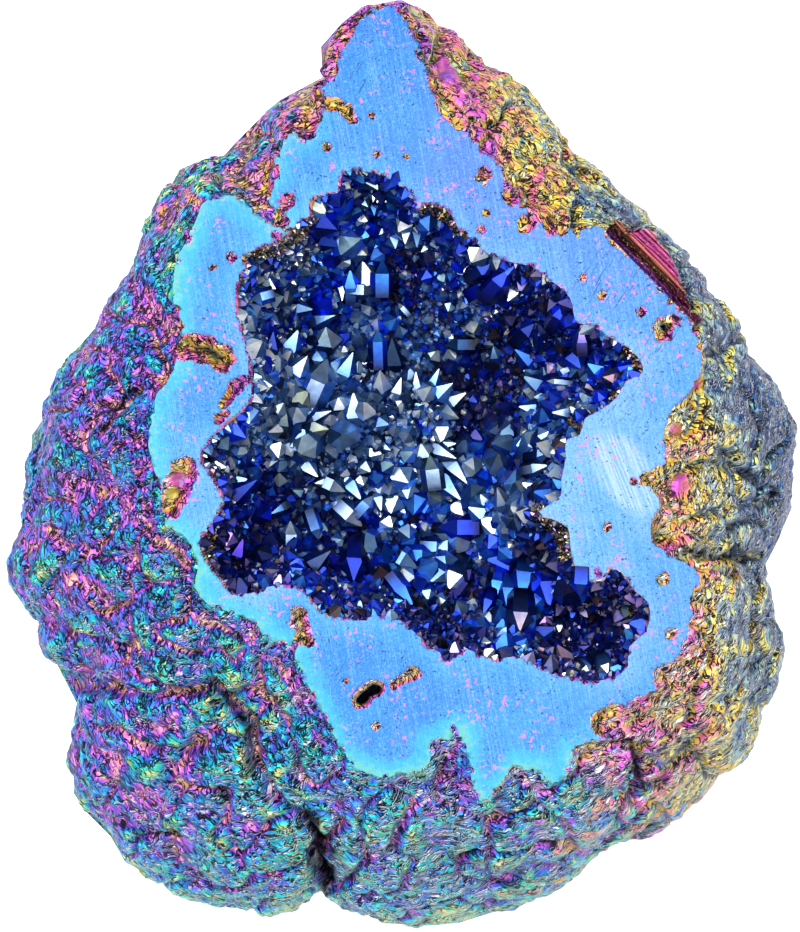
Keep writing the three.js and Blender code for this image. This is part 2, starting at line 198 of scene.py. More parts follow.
def cell_noise(points, size, seed):
    """Distances to the nearest and the second nearest of seeds scattered about size apart."""
    rng = np.random.RandomState(seed)
    table = rng.permutation(256)
    places = rng.uniform(size=(256, 3))
    scaled = points / size
    cell = np.floor(scaled).astype(int)
    inside = scaled - cell
    first = np.full(len(points), 9.0)
    second = np.full(len(points), 9.0)
    for step in np.ndindex(3, 3, 3):
        shift = np.array(step) - 1
        at = cell + shift
        pick = table[(table[(table[at[:, 0] & 255] + at[:, 1]) & 255] + at[:, 2]) & 255]
        away = np.linalg.norm(places[pick] + shift - inside, axis=1)
        second = np.minimum(second, np.maximum(first, away))
        first = np.minimum(first, away)
    return first, second


def smooth_step(low, high, value):
    share = np.clip((value - low) / (high - low), 0, 1)
    return share * share * (3 - 2 * share)


def path_nearest(plan, path, closed=False):
    """Distance of each plan point from a path of straight stretches, and the way to it."""
    ends = path[1:] + path[:1] if closed else path[1:]
    nearest = np.full(len(plan), 1e9)
    way = np.zeros_like(plan)
    for start, end in zip(path, ends):
        start, along = np.array(start), np.array(end) - np.array(start)
        share = np.clip(((plan - start) @ along) / max(along @ along, 1e-9), 0, 1)
        away = plan - start - share[:, None] * along
        square = np.einsum("ij,ij->i", away, away)
        closer = square < nearest
        nearest = np.where(closer, square, nearest)
        way[closer] = -away[closer]
    return np.sqrt(nearest), way


def path_distance(plan, path, closed=False):
    return path_nearest(plan, path, closed)[0]


def inside_outline(plan, outline):
    """True for each plan point that lies inside a closed outline."""
    inside = np.zeros(len(plan), dtype=bool)
    x, y = plan[:, 0], plan[:, 1]
    for (ax, ay), (bx, by) in zip(outline, outline[1:] + outline[:1]):
        if ay == by:
            continue
        crosses = ((ay > y) != (by > y)) & (x < (bx - ax) * (y - ay) / (by - ay) + ax)
        inside ^= crosses
    return inside


def depth_inside(plan, outline):
    """Distance from a closed outline, positive inside it and negative outside."""
    away = path_distance(plan, outline, closed=True)
    return np.where(inside_outline(plan, outline), away, -away)


def rounded_outline(points, cuts):
    """A closed outline with cuts points on a smooth curve through each stretch."""
    corners = np.array(points)
    before, after, later = (np.roll(corners, k, axis=0) for k in (1, -1, -2))
    rounded = []
    for k in range(len(corners)):
        for share in np.arange(cuts) / cuts:
            a, b, c, d = before[k], corners[k], after[k], later[k]
            bow, twist = 2 * a - 5 * b + 4 * c - d, 3 * b - a - 3 * c + d
            rounded.append(tuple(0.5 * (2 * b + (c - a) * share + bow * share ** 2 + twist * share ** 3)))
    return rounded


FACE_EDGE = rounded_outline(FACE_OUTLINE, 2)
MOUTH_EDGE = rounded_outline(MOUTH_OUTLINE, 2)

# ---------------------------------------------------------------- meshes as arrays


def mesh_arrays(mesh):
    """Vertices in millimetres and triangles of a mesh."""
    places = np.empty(len(mesh.vertices) * 3)
    mesh.vertices.foreach_get("co", places)
    mesh.calc_loop_triangles()
    triangles = np.empty(len(mesh.loop_triangles) * 3, dtype=int)
    mesh.loop_triangles.foreach_get("vertices", triangles)
    return places.reshape(-1, 3) / MM, triangles.reshape(-1, 3)


def set_places(mesh, places):
    mesh.vertices.foreach_set("co", (places * MM).ravel())
    mesh.update()


def vertex_normals(places, triangles):
    corners = places[triangles]
    facing = np.cross(corners[:, 1] - corners[:, 0], corners[:, 2] - corners[:, 0])
    total = np.zeros_like(places)
    for k in range(3):
        for axis in range(3):
            total[:, axis] += np.bincount(triangles[:, k], facing[:, axis], len(places))
    return total / np.maximum(np.linalg.norm(total, axis=1), 1e-12)[:, None]


class Neighbours:
    """Averages over the vertices that share an edge with each vertex."""

    def __init__(self, count, triangles):
        pairs = np.vstack([triangles[:, [0, 1]], triangles[:, [1, 2]], triangles[:, [2, 0]]])
        pairs = np.unique(np.sort(pairs, axis=1), axis=0)
        self.ends = np.concatenate([pairs[:, 0], pairs[:, 1]])
        self.others = np.concatenate([pairs[:, 1], pairs[:, 0]])
        self.count = count
        self.shared = np.maximum(np.bincount(self.ends, minlength=count), 1)

    def mean(self, values):
        if values.ndim == 1:
            return np.bincount(self.ends, values[self.others], self.count) / self.shared
        return np.stack([self.mean(values[:, k]) for k in range(values.shape[1])], axis=1)

    def smoothed(self, values, rounds, share=0.5):
        for _ in range(rounds):
            values = values + share * (self.mean(values) - values)
        return values


# ---------------------------------------------------------------- the stone

VOXEL = 0.32                  # mesh size of the stone
TRIANGLE_LIMIT = 196000
BIG_KNOBS = 7.5               # how far apart the knobs of the rind stand
MIDDLE_KNOBS = 3.0
SMALL_KNOBS = 1.3
HOLLOW_LOWEST = 15            # every surface above this and inside the mouth lines the hollow
HOLLOW_MARGIN = 2.5           # how far outside the mouth the CAD hollow can reach
FLOOR_DEPTH = 17.5            # bare floor of the hollow, below the ground face
WALL_SLOPE = 3.2
TOP_LAYER = 9.0               # how far down the ground face and the mouth shape the stone
TOP_REACH = 5.0               # marks seen on the ground face go no further down the stone
LAYER_GAP = 0.008             # how far a wall that is raised to the ground face stays under it, per mm
FLAT_WITHIN = 0.03            # the ground face is shaded flat where it is this near its level
CREASE_FADE = (13.0, 19.0)    # how far down the creases fade, and then the black painted as shade in their gaps
CLEFT_FADE = (17.0, 22.0)
SWAY = 1.5                    # how far creases, and the black painted as shade in their gaps, wander on their way down the wall
SWAY_FADE = (2.0, 6.0)
FAR_OUT = -9.0                # depth inside an outline, of points too far down to be measured
CRUSTED = 0.35                # share of crust from which a place counts as crusted

# Bulges of the hollow's floor: middle, spread and rise.
FLOOR_MOUNDS = [((-4.0, 3.0), 9.5, 6.0), ((3.0, -12.0), 4.0, 3.5), ((11.5, -13.0), 4.5, 3.0),
                ((-13.5, -8.5), 4.0, 3.0), ((18.0, -16.5), 4.0, 3.5), ((14.0, 3.5), 4.0, 2.0)]

# The striated wedge that breaks the ground face at the upper right. Its ridges run at right angles
# to WEDGE_ACROSS, and its lower left edge lies WEDGE_START along that direction.
WEDGE_CORNERS = [(20.7, 23.3), (21.9, 25.1), (25.1, 24.3), (26.1, 23.4), (26.2, 22.2), (27.9, 19.0),
                 (28.7, 17.9), (30.4, 14.9), (29.7, 14.2)]
WEDGE_ACROSS = (0.7071, 0.7071)
WEDGE_START = 31.05

# Film on the rind at a few places: x, y, share of thin film, its order and spread, and the order
# and spread of the thick film. The thin one runs from straw to violet, the thick one on to teal.
FILM_PLACES = [
    (32, 3, 1.0, 0.44, 0.18, 0.5, 0.3), (39, 1, 1.0, 0.02, 0.12, 0.5, 0.3),
    (35, -1, 1.0, 0.30, 0.20, 0.5, 0.3), (28, 0, 1.0, 0.70, 0.26, 0.5, 0.3),
    (32, -5, 1.0, 0.30, 0.24, 0.5, 0.3), (37, -7, 1.0, 0.02, 0.12, 0.5, 0.3),
    (28, -6, 1.0, 0.72, 0.26, 0.5, 0.3), (32, -14, 1.0, 0.46, 0.22, 0.5, 0.3),
    (37, -14, 1.0, 0.13, 0.22, 0.5, 0.3), (37, -20, 1.0, 0.16, 0.22, 0.5, 0.3),
    (29, -12, 1.0, 0.76, 0.26, 0.5, 0.3), (36, 7, 1.0, 0.13, 0.18, 0.5, 0.3),
    (27, -21, 1.0, 0.80, 0.26, 0.4, 0.3), (34, -26, 1.0, 0.42, 0.30, 0.4, 0.3),
    (24, -30, 0.5, 0.70, 0.28, 0.44, 0.4), (20, -36, 0.38, 0.74, 0.28, 0.44, 0.4),
    (12, -38, 0.3, 0.78, 0.22, 0.52, 0.3), (6, 39, 1.0, 0.72, 0.32, 0.5, 0.3),
    (12, 37, 1.0, 0.26, 0.24, 0.5, 0.3), (9, 33, 1.0, 0.72, 0.34, 0.5, 0.3),
    (18, 30, 1.0, 0.24, 0.22, 0.5, 0.3), (13, 28, 1.0, 0.68, 0.34, 0.5, 0.3),
    (20, 25, 1.0, 0.32, 0.24, 0.5, 0.3), (30, 19, 1.0, 0.20, 0.20, 0.5, 0.3),
    (34, 11, 1.0, 0.26, 0.24, 0.5, 0.3), (-6, 43, 0.8, 0.60, 0.30, 0.3, 0.3),
    (-12, 33, 0.5, 0.56, 0.36, 0.54, 0.50), (-20, 29, 0.45, 0.58, 0.36, 0.56, 0.50),
    (-26, 20, 0.25, 0.66, 0.34, 0.54, 0.46), (-30, 8, 0.2, 0.72, 0.32, 0.42, 0.36),
    (-33, -5, 0.05, 0.7, 0.3, 0.46, 0.36), (-27, -10, 0.0, 0.7, 0.3, 0.50, 0.38),
    (-33, -14, 0.0, 0.7, 0.3, 0.46, 0.36), (-20, -18, 0.0, 0.7, 0.3, 0.53, 0.40),
    (-28, -30, 0.0, 0.7, 0.3, 0.46, 0.36), (-18, -40, 0.0, 0.7, 0.3, 0.50, 0.36),
    (-5, -40, 0.0, 0.7, 0.3, 0.52, 0.30), (5, -42, 0.05, 0.7, 0.3, 0.50, 0.32),
    (-2, -34, 0.0, 0.7, 0.3, 0.55, 0.30), (8, -34, 0.1, 0.7, 0.3, 0.50, 0.32),
]

# Tone of the ground face at a few places: x, y, how pale and how violet.
FACE_PLACES = [
    (-3, 40, 0.05, 0.10), (-1, 34, 0.15, 0.20), (7, 31, 0.10, 0.75), (10, 24, 0.25, 0.75),
    (-8, 28, 0.25, 0.15), (-18, 22, 0.30, 0.15), (-20, 8, 0.40, 0.25), (-21, -3, 0.55, 0.10),
    (-17, -12, 0.45, 0.05), (-6, -20, 0.30, 0.10), (2, -24, 0.25, 0.15), (12, -25, 0.35, 0.15),
    (22, -22, 0.45, 0.30), (27, -12, 0.50, 0.45), (20, -3, 0.95, 0.20), (23, 2, 0.90, 0.25),
    (18, -7, 0.60, 0.15), (27, 8, 0.55, 0.40), (25, 14, 0.45, 0.50), (19, 20, 0.20, 0.80),
    (16, 20, 0.40, 0.45),
]

# Smooth glossy patches of the rind and of a chip in the face: place, reach and film order.
GLOSSY_PATCHES = [(-22.1, -1.4, 0.95, 0.96), (-22.8, -2.9, 0.75, 0.55), (4.9, 39.8, 1.5, 0.98),
                  (29.4, 8.6, 1.2, 0.84), (28.0, -1.8, 1.2, 0.78), (27.6, 3.6, 0.8, 0.78)]

# Places on the ground face with many dark scratches: middle and reach.
SCRATCHED = [(-2.8, 38.6, 2.6), (21.0, 18.0, 3.5), (26.5, 12.5, 3.0), (22.5, 6.0, 2.5), (-17.0, 7.0, 2.0),
             (-20.5, -8.0, 1.5), (-5.5, -21.0, 1.5)]

# Gold crust along the rim of the mouth: points, half width.
CRUSTS = [
    ([(-15.6, 20.6), (-14.0, 21.3), (-12.2, 22.0), (-11.2, 22.8)], 0.7),
    ([(-10.3, 22.9), (-9.4, 23.9), (-8.7, 24.9)], 0.7),
    ([(2.4, 25.8), (4.0, 25.6), (5.4, 24.6), (6.0, 23.4)], 0.7),
    ([(14.2, -4.6), (15.6, -6.0), (16.6, -7.4), (17.0, -9.0)], 1.0),
    ([(17.0, 4.6), (17.7, 3.9), (18.6, 3.4)], 0.7), ([(15.6, 1.0), (15.8, 0.2)], 0.5),
    ([(21.0, 6.8), (21.6, 7.2)], 0.5), ([(24.0, 9.6), (23.4, 10.9), (22.4, 11.8)], 0.5),
    ([(23.6, -13.6), (23.8, -15.6)], 0.5), ([(-19.4, -8.9), (-18.9, -7.0)], 0.5),
]


def solid_without_hollow(node):
    """A copy of the CAD solid with its hollow filled up to the ground face."""
    shape = bmesh.new()
    shape.from_mesh(node.data)
    bmesh.ops.remove_doubles(shape, verts=shape.verts, dist=1e-6)
    middles = np.array([face.calc_center_median() for face in shape.faces]) / MM
    near = depth_inside(middles[:, :2], MOUTH_OUTLINE) > -HOLLOW_MARGIN
    lining = near & (middles[:, 2] > HOLLOW_LOWEST) & (middles[:, 2] < FACE_Z - 0.01)
    shape.faces.ensure_lookup_table()
    doomed = [shape.faces[k] for k in np.nonzero(lining)[0]]
    bmesh.ops.delete(shape, geom=doomed, context="FACES")
    rim = [edge for edge in shape.edges if edge.is_boundary]
    bmesh.ops.triangle_fill(shape, edges=rim, use_beauty=True)
    bmesh.ops.recalc_face_normals(shape, faces=shape.faces)
    mesh = bpy.data.meshes.new("stone_base")
    shape.to_mesh(mesh)
    shape.free()
    return mesh


def with_modifier(mesh, kind, **settings):
    """The mesh that one modifier makes of this mesh."""
    holder = bpy.data.objects.new("holder", mesh)
    bpy.context.scene.collection.objects.link(holder)
    group = settings.pop("weights", None)
    if group is not None:
        layer = holder.vertex_groups.new(name="weights")
        for level in range(11):
            members = np.nonzero(np.round(group * 10) == level)[0].tolist()
            if members:
                layer.add(members, level / 10, "REPLACE")
        settings["vertex_group"] = layer.name
    modifier = holder.modifiers.new("step", kind)
    for name, value in settings.items():
        setattr(modifier, name, value)
    shown = holder.evaluated_get(bpy.context.evaluated_depsgraph_get())
    made = bpy.data.meshes.new_from_object(shown)
    bpy.data.objects.remove(holder)
    bpy.data.meshes.remove(mesh)
    return made


def hollow_depth(plan):
    """Depth of the hollow's bare wall and floor below the ground face."""
    inward = depth_inside(plan, MOUTH_EDGE)
    flat = on_level(plan)
    floor = np.full(len(plan), FLOOR_DEPTH)
    for (x, y), spread, rise in FLOOR_MOUNDS:
        floor -= rise * np.exp(-(square_away(plan, x, y) / spread ** 2))
    floor += 1.2 * gradient_noise(flat, 5.0, 21) + 0.6 * gradient_noise(flat, 2.2, 22)
    wall = WALL_SLOPE * np.maximum(inward, 0) + 0.35
    steep = floor * (1 - np.exp(-wall / floor * 1.35))
    return np.where(inward > 0, steep, 0), inward


def knobs(places):
    """Height of the rind's knobs and wrinkles over the smooth solid."""
    bend = np.stack([gradient_noise(places, 4.0, seed) for seed in (1, 2, 3)], axis=1)
    bent = places + 2.0 * bend
    big, big_next = cell_noise(bent, BIG_KNOBS, 4)
    middle, middle_next = cell_noise(bent, MIDDLE_KNOBS, 5)
    small, small_next = cell_noise(places + 0.6 * bend, SMALL_KNOBS, 6)
    height = 2.0 * (0.40 - big ** 2) + 0.6 * (np.minimum(big_next - big, 0.3) - 0.2)
    height += 0.4 * (np.minimum(middle_next - middle, 0.5) - 0.22)
    height += 0.3 * (np.minimum(small_next - small, 0.45) - 0.2)
    height -= 0.9 * np.exp(-(gradient_noise(bent, 6.0, 8) / 0.05) ** 2)
    return height + 0.3 * gradient_noise(places, 0.85, 7)


def stroke_depth(plan, strokes):
    """How deep crevices or creases cut at each plan point."""
    depth = np.zeros(len(plan))
    for path, half_width, deepest in strokes:
        away = path_distance(plan, path) / half_width
        depth = np.maximum(depth, deepest * np.exp(-away ** 2 * 1.1))
    return depth


def swayed(places):
    """Plan points that wander sideways on the way down, so that no crease runs straight down a wall."""
    share = smooth_step(*SWAY_FADE, FACE_Z - places[:, 2])[:, None]
    return places[:, :2] + SWAY * noise_pair(places, 3.2, 19) * share


def snapped(places, movable):
    """Places with those next to the mouth, the face edge or the wedge moved sideways onto it."""
    places = places.copy()
    for outline in (MOUTH_EDGE, FACE_EDGE, WEDGE_CORNERS):
        away, way = path_nearest(places[:, :2], outline, closed=True)
        move = movable & (away < 0.55 * VOXEL)
        places[move, :2] += way[move]
    return places


def rind_height(places, upper):
    """Height of the rind over the smooth solid: its knobs, and the creases of its upper part."""
    height = knobs(places)
    wavy = swayed(places) + 0.35 * noise_pair(on_level(places[:, :2]), 1.3, 17)
    kept = 1 - smooth_step(*CREASE_FADE, FACE_Z - places[upper, 2])
    height[upper] -= stroke_depth(wavy[upper], CREASES) * kept
    return height


def missed_spots(plan, flat):
    """How far the grinding missed the face in its shallow spots."""
    missed = np.zeros(len(plan))
    for x, y, radius in LOW_SPOTS:
        away = np.hypot(plan[:, 0] - x, plan[:, 1] - y) / radius
        missed = np.maximum(missed, 1.3 * np.exp(-away ** 2))
    return missed * (0.75 + 0.9 * gradient_noise(flat, 0.8, 14))


def wedge_level(plan):
    """Level of the wedge, which is sunk below the ground face and ridged."""
    across = plan @ WEDGE_ACROSS - WEDGE_START
    sunk = np.interp(across, [0, 0.4, 1.3, 2.4, 4.0], [0.1, 1.0, 0.5, 0.25, 0.45])
    return FACE_Z - sunk + 0.08 * np.sin(8.0 * across)


def ground_levels(level, places, near):
    """Levels of all vertices once the rind meets the ground face and the face has its marks."""
    plan = places[:, :2]
    flat = on_level(plan)
    inside = np.full(len(plan), FAR_OUT)
    inside[near] = depth_inside(plan[near], FACE_EDGE)

    # The rind stays below the ground face and meets it along a ragged line.
    ragged = 0.35 * gradient_noise(flat, 2.2, 11) + 0.45 * gradient_noise(flat, 0.9, 12)
    ragged += 0.35 * gradient_noise(flat, 0.5, 13)
    highest = FACE_Z + 0.75 * inside + 1.3 * ragged - 0.05 + 8 * smooth_step(-1.5, -4.5, inside)
    outer = near & (inside <= 0)
    level = np.where(outer, np.minimum(level, highest), level)
    level = np.where(outer & (inside > -1.2), np.maximum(level, highest - 0.8), level)

    # The face has low spots and crevices that the grinding missed, and the wedge.
    crevices = np.zeros(len(plan))
    shaken = plan[near] + 0.7 * noise_pair(flat[near], 1.1, 15)
    crevices[near] = stroke_depth(shaken, CREVICES)
    shore = np.minimum(np.maximum(inside, 0) * 0.55 + ragged, 1.0) - 2.2 * missed_spots(plan, flat)
    under = LAYER_GAP * np.maximum(FACE_Z - places[:, 2], 0)
    ground = FACE_Z + np.minimum(shore * 0.3, 0) - crevices - under
    level = np.where(near & (inside > 0), ground, level)
    wedge = near & (depth_inside(plan, WEDGE_CORNERS) > 0)
    level = np.where(wedge, wedge_level(plan), level)
    return np.maximum(np.where(near, np.minimum(level, FACE_Z), level), 0)


def build_stone(node):
    """The stone: the CAD solid smoothed, with its rind, its ground face and the wall of its hollow."""
    mesh = with_modifier(solid_without_hollow(node), "REMESH", mode="VOXEL", voxel_size=VOXEL * MM)
    places, triangles = mesh_arrays(mesh)
    around = Neighbours(len(places), triangles)
    on_face = places[:, 2] > FACE_Z - 0.2
    places = np.where(on_face[:, None], places, around.smoothed(places, 40))
    normals = around.smoothed(vertex_normals(places, triangles), 6)
    normals /= np.linalg.norm(normals, axis=1)[:, None]
    near = (normals[:, 2] > -0.4) & (places[:, 2] > FACE_Z - TOP_LAYER)
    places = snapped(places, near)
    moved = places + normals * rind_height(places, near | (normals[:, 2] > 0.12))[:, None]
    moved[:, 2] = ground_levels(moved[:, 2], places, near)

    depth, inward = np.zeros(len(places)), np.full(len(places), FAR_OUT)
    depth[near], inward[near] = hollow_depth(places[near, :2])
    moved[:, 2] = np.where(inward > 0, FACE_Z - depth, moved[:, 2])
    set_places(mesh, moved)

    # Fewer triangles underneath and where the points cover the wall.
    share = TRIANGLE_LIMIT / len(triangles)
    hidden = np.where(normals[:, 2] < 0.05, 1.0, np.where(inward > 0.6, 0.5, 0.0))
    return with_modifier(mesh, "DECIMATE", ratio=share, weights=hidden, vertex_group_factor=1.0)


def blended(plan, table, reach):
    """Each column of a table of places, blended smoothly between the places."""
    table = np.array(table)
    away = (plan[:, None, 0] - table[:, 0]) ** 2 + (plan[:, None, 1] - table[:, 1]) ** 2
    weight = np.exp(-away / (2 * reach ** 2)) + 1e-12 / (away + 1)
    return (weight @ table[:, 2:] / weight.sum(axis=1)[:, None]).T


def film_at(plan, on_top, inside):
    """What the material reads about the film: its share, order and spread, and the glossy patches."""
    thin, thin_order, thin_spread, thick_order, thick_spread = blended(plan, FILM_PLACES, 4.5)
    thick_edge = 1 - thin
    in_face = on_top & (inside > 0.15)
    thin = np.where(in_face, 1, thin)
    thin_order = np.where(in_face, 0.62, thin_order)
    thin_spread = np.where(in_face, 0.24, thin_spread)
    glossy = np.zeros(len(plan))
    for x, y, reach, order in GLOSSY_PATCHES:
        share = on_top * np.exp(-(square_away(plan, x, y) / reach ** 2) ** 2)
        thin = np.maximum(thin, share)
        thin_order += (order - thin_order) * share
        thin_spread += (0.10 - thin_spread) * share
        glossy = np.maximum(glossy, share)
    return {"thin": thin, "thin_order": thin_order, "thin_spread": thin_spread, "thick_order": thick_order,
            "thick_spread": thick_spread, "glossy": glossy, "thick_edge": thick_edge}


def cleft_shade_at(places):
    """Above 0 where a crease's gap is painted near black as shade: ragged along its sides, and none further
    down the wall.
    """
    flat = on_level(places[:, :2])
    shaken = swayed(places) + 0.5 * noise_pair(flat, 1.2, 31)
    raggedness = 1.6 * gradient_noise(flat, 1.0, 33) - 0.2
    cleft_shade = np.zeros(len(places))
    for path, half_width in CLEFTS:
        cleft_shade = np.maximum(cleft_shade, 1.5 - path_distance(shaken, path) / half_width + raggedness)
    return cleft_shade - 3 * smooth_step(*CLEFT_FADE, FACE_Z - places[:, 2])


def scratches_at(plan):
    scratched = np.zeros(len(plan))
    for x, y, reach in SCRATCHED:
        scratched = np.maximum(scratched, np.exp(-square_away(plan, x, y) / reach ** 2))
    return scratched


def finish_stone(mesh):
    """Attributes that the stone's material reads, and flat shading on the ground face."""
    places, triangles = mesh_arrays(mesh)
    around = Neighbours(len(places), triangles)
    normals = vertex_normals(places, triangles)
    plan = places[:, :2]
    inside = depth_inside(plan, FACE_EDGE)
    pale, violet = blended(plan, FACE_PLACES, 4.0)
    relief = ((places - around.smoothed(places, 10)) * normals).sum(axis=1)
    swell = ((places - around.smoothed(places, 80)) * normals).sum(axis=1)
    wedge = np.where(places[:, 2] > FACE_Z - 2.0, depth_inside(plan, WEDGE_CORNERS), -1)
    values = {
        "relief": np.clip(relief / 0.16, -1.5, 1.5), "swell": np.clip(swell / 0.6, -1.5, 1.5),
        "below": np.clip(FACE_Z - places[:, 2], 0, 50), "inside": np.clip(inside, -6, 6),
        "inward": np.clip(depth_inside(plan, MOUTH_EDGE), -6, 6), "wedge": np.clip(wedge, -1, 1),
        **film_at(plan, places[:, 2] > FACE_Z - TOP_REACH, inside),
        "pale": pale, "violet": violet, "crust": crust_at(plan), "scratched": scratches_at(plan),
        "cleft_shade": cleft_shade_at(places)}
    for name, each in values.items():
        layer = mesh.attributes.new(name, "FLOAT", "POINT")
        layer.data.foreach_set("value", np.asarray(each, dtype=np.float32))
    level = [all(places[v][2] > FACE_Z - FLAT_WITHIN for v in face.vertices) for face in mesh.polygons]
    mesh.polygons.foreach_set("use_smooth", ~np.array(level))


# ---------------------------------------------------------------- materials


class Shader:
    """Short names for making nodes in one material."""

    def __init__(self, name):
        self.material = bpy.data.materials.new(name)
        self.material.use_nodes = True
        self.tree = self.material.node_tree
        self.tree.nodes.clear()

    def node(self, kind, inputs=(), **settings):
        made = self.tree.nodes.new(kind)
        for name, value in settings.items():
            setattr(made, name, value)
        for key, value in dict(inputs).items():
            socket = made.inputs[key]
            if isinstance(value, bpy.types.NodeSocket):
                self.tree.links.new(value, socket)
            else:
                socket.default_value = value
        return made

    def surface(self, inputs):
        """The finished material, with these inputs on its one shader."""
        shader = self.node("ShaderNodeBsdfPrincipled", inputs)
        self.node("ShaderNodeOutputMaterial", {0: shader.outputs[0]})
        return self.material

    def math(self, operation, a, b=0.0):
        return self.node("ShaderNodeMath", {0: a, 1: b}, operation=operation).outputs[0]

    def add(self, *terms):
        total = terms[0]
        for term in terms[1:]:
            total = self.math("ADD", total, term)
        return total

    def times(self, *factors):
        total = factors[0]
        for factor in factors[1:]:
            total = self.math("MULTIPLY", total, factor)
        return total

    def vector(self, operation, a, b=(0, 0, 0), output="Vector"):
        return self.node("ShaderNodeVectorMath", {0: a, 1: b}, operation=operation).outputs[output]

    def aligned(self, vector, way):
        """How far a vector points one way."""
        return self.vector("DOT_PRODUCT", vector, way, "Value")

    def millimetres(self):
        """Each place on the object, in millimetres."""
        metres = self.node("ShaderNodeTexCoord").outputs["Object"]
        return self.vector("MULTIPLY", metres, (1 / MM,) * 3)

    def span(self, value, low, high, to_low=0.0, to_high=1.0):
        return self.node("ShaderNodeMapRange", {0: value, 1: low, 2: high, 3: to_low, 4: to_high},
                         clamp=True).outputs[0]

    def mix(self, share, a, b, blend="MIX"):
        return self.node("ShaderNodeMix", {0: share, 6: a, 7: b}, data_type="RGBA",
                         blend_type=blend).outputs[2]

    def tinted(self, colour, tint):
        return self.mix(1.0, colour, tint, blend="MULTIPLY")

    def layered(self, colour, layers):
        """A colour under layers, each with its share and its own colour."""
        for share, layer in layers:
            colour = self.mix(share, colour, layer)
        return colour

    def mix_normals(self, share, a, b):
        return self.node("ShaderNodeMix", {0: share, 4: a, 5: b}, data_type="VECTOR").outputs[1]

    def bump(self, height, strength, distance):
        return self.node("ShaderNodeBump", {"Height": height, "Strength": strength,
                                            "Distance": distance}).outputs[0]

    def attribute(self, name, output="Fac"):
        return self.node("ShaderNodeAttribute", attribute_name=name).outputs[output]

    def ramp(self, value, stops):
        made = self.node("ShaderNodeValToRGB", {0: value})
        elements = made.color_ramp.elements
        while len(elements) < len(stops):
            elements.new(0.5)
        for element, (place, colour) in zip(elements, stops):
            element.position = place
            element.color = colour
        return made.outputs[0]

    def noise(self, place, size, detail=2.0, rough=0.5, output="Fac"):
        return self.node("ShaderNodeTexNoise", {"Vector": place, "Scale": 1 / size, "Detail": detail,
                                                "Roughness": rough}).outputs[output]

    def swing(self, place, size, detail=2.0, rough=0.5):
        """Noise to either side of 0."""
        return self.math("SUBTRACT", self.noise(place, size, detail, rough), 0.5)

    def streaks(self, place, turn, width, length):
        """Noise drawn out along a line at turn degrees from the x axis."""
        turned = self.node("ShaderNodeMapping", {"Vector": place, "Rotation": (0, 0, math.radians(-turn))},
                           vector_type="POINT").outputs[0]
        return self.noise(self.vector("MULTIPLY", turned, (width / length, 1, 1)), width, detail=1.0)

    def blob(self, place, x, y, half_width, half_height, turn):
        """A soft-edged ellipse, 1 in its middle and 0 outside."""
        moved = self.node("ShaderNodeMapping", {
            "Vector": place, "Location": (x, y, 0), "Rotation": (0, 0, math.radians(turn)),
            "Scale": (half_width, half_height, 1)}, vector_type="TEXTURE").outputs[0]
        away = self.vector("LENGTH", self.vector("MULTIPLY", moved, LEVEL), output="Value")
        return self.span(away, 1.0, 0.7)

    def flakes(self, place, size):
        """Height of small plates that each lean their own way, and how far each leans to the light."""
        plates = self.node("ShaderNodeTexVoronoi", {"Vector": place, "Scale": 1 / size}).outputs
        lean = self.vector("SUBTRACT", plates["Color"], (0.5, 0.5, 0.5))
        offset = self.vector("SUBTRACT", place, plates["Position"])
        return self.aligned(offset, lean), self.aligned(lean, LIGHT_WAY)


def srgb(red, green, blue):
    """A colour given as it looks on a screen, 0 to 255, as linear light."""
    def linear(level):
        level /= 255
        return level / 12.92 if level <= 0.04045 else ((level + 0.055) / 1.055) ** 2.4
    return (linear(red), linear(green), linear(blue), 1.0)


LEVEL = (1, 1, 0)             # takes the height out of a place
UP = (0, 0, 1)
LIGHT_WAY = (-0.62, 0.70, 0.35)
FILM_WAY = (-0.62, 0.36, 0.70)      # a wall that faces this way shows a film further on in its order
GRAIN_RADIUS = 25.0           # less than the stone's own radius, so wrinkles are drawn out round it
SCALE_SIZE = 0.52             # scales of the rind
WHITE = (1, 1, 1, 1)

# Colours of the thin film in order: steel blue, straw, gold, pink, magenta, violet.
THIN_COLOURS = [
    (0.00, srgb(10, 46, 110)), (0.10, srgb(30, 92, 156)), (0.21, srgb(146, 194, 200)),
    (0.34, srgb(240, 230, 116)), (0.48, srgb(248, 202, 66)), (0.62, srgb(250, 150, 132)),
    (0.78, srgb(242, 98, 200)), (1.00, srgb(142, 90, 220)),
]

# Colours of the thick film in order: gold, pink, violet, blue, teal, green, gold.
THICK_COLOURS = [
    (0.00, srgb(244, 202, 122)), (0.18, srgb(250, 146, 196)), (0.33, srgb(200, 98, 228)),
    (0.46, srgb(90, 94, 226)), (0.58, srgb(44, 140, 226)), (0.73, srgb(36, 192, 210)),
    (0.88, srgb(70, 208, 156)), (1.00, srgb(234, 208, 122)),
]

# Colours across the striated wedge, from its lower left edge; and painted shade in the troughs and painted
# highlight on the tops of each of its ridges.
WEDGE_WIDTH = 4.0
WEDGE_COLOURS = [
    (0.00, srgb(40, 16, 124)), (0.07, srgb(104, 20, 112)), (0.12, srgb(60, 14, 30)),
    (0.30, srgb(92, 44, 32)), (0.36, srgb(206, 128, 84)), (0.44, srgb(232, 104, 156)),
    (0.60, srgb(198, 60, 160)), (0.72, srgb(246, 126, 170)), (1.00, srgb(250, 176, 176)),
]
RIDGE_SHADING = [(0.05, (0.10, 0.03, 0.07, 1)), (0.35, (0.7, 0.6, 0.66, 1)), (0.75, (1.1, 1.0, 1.0, 1))]


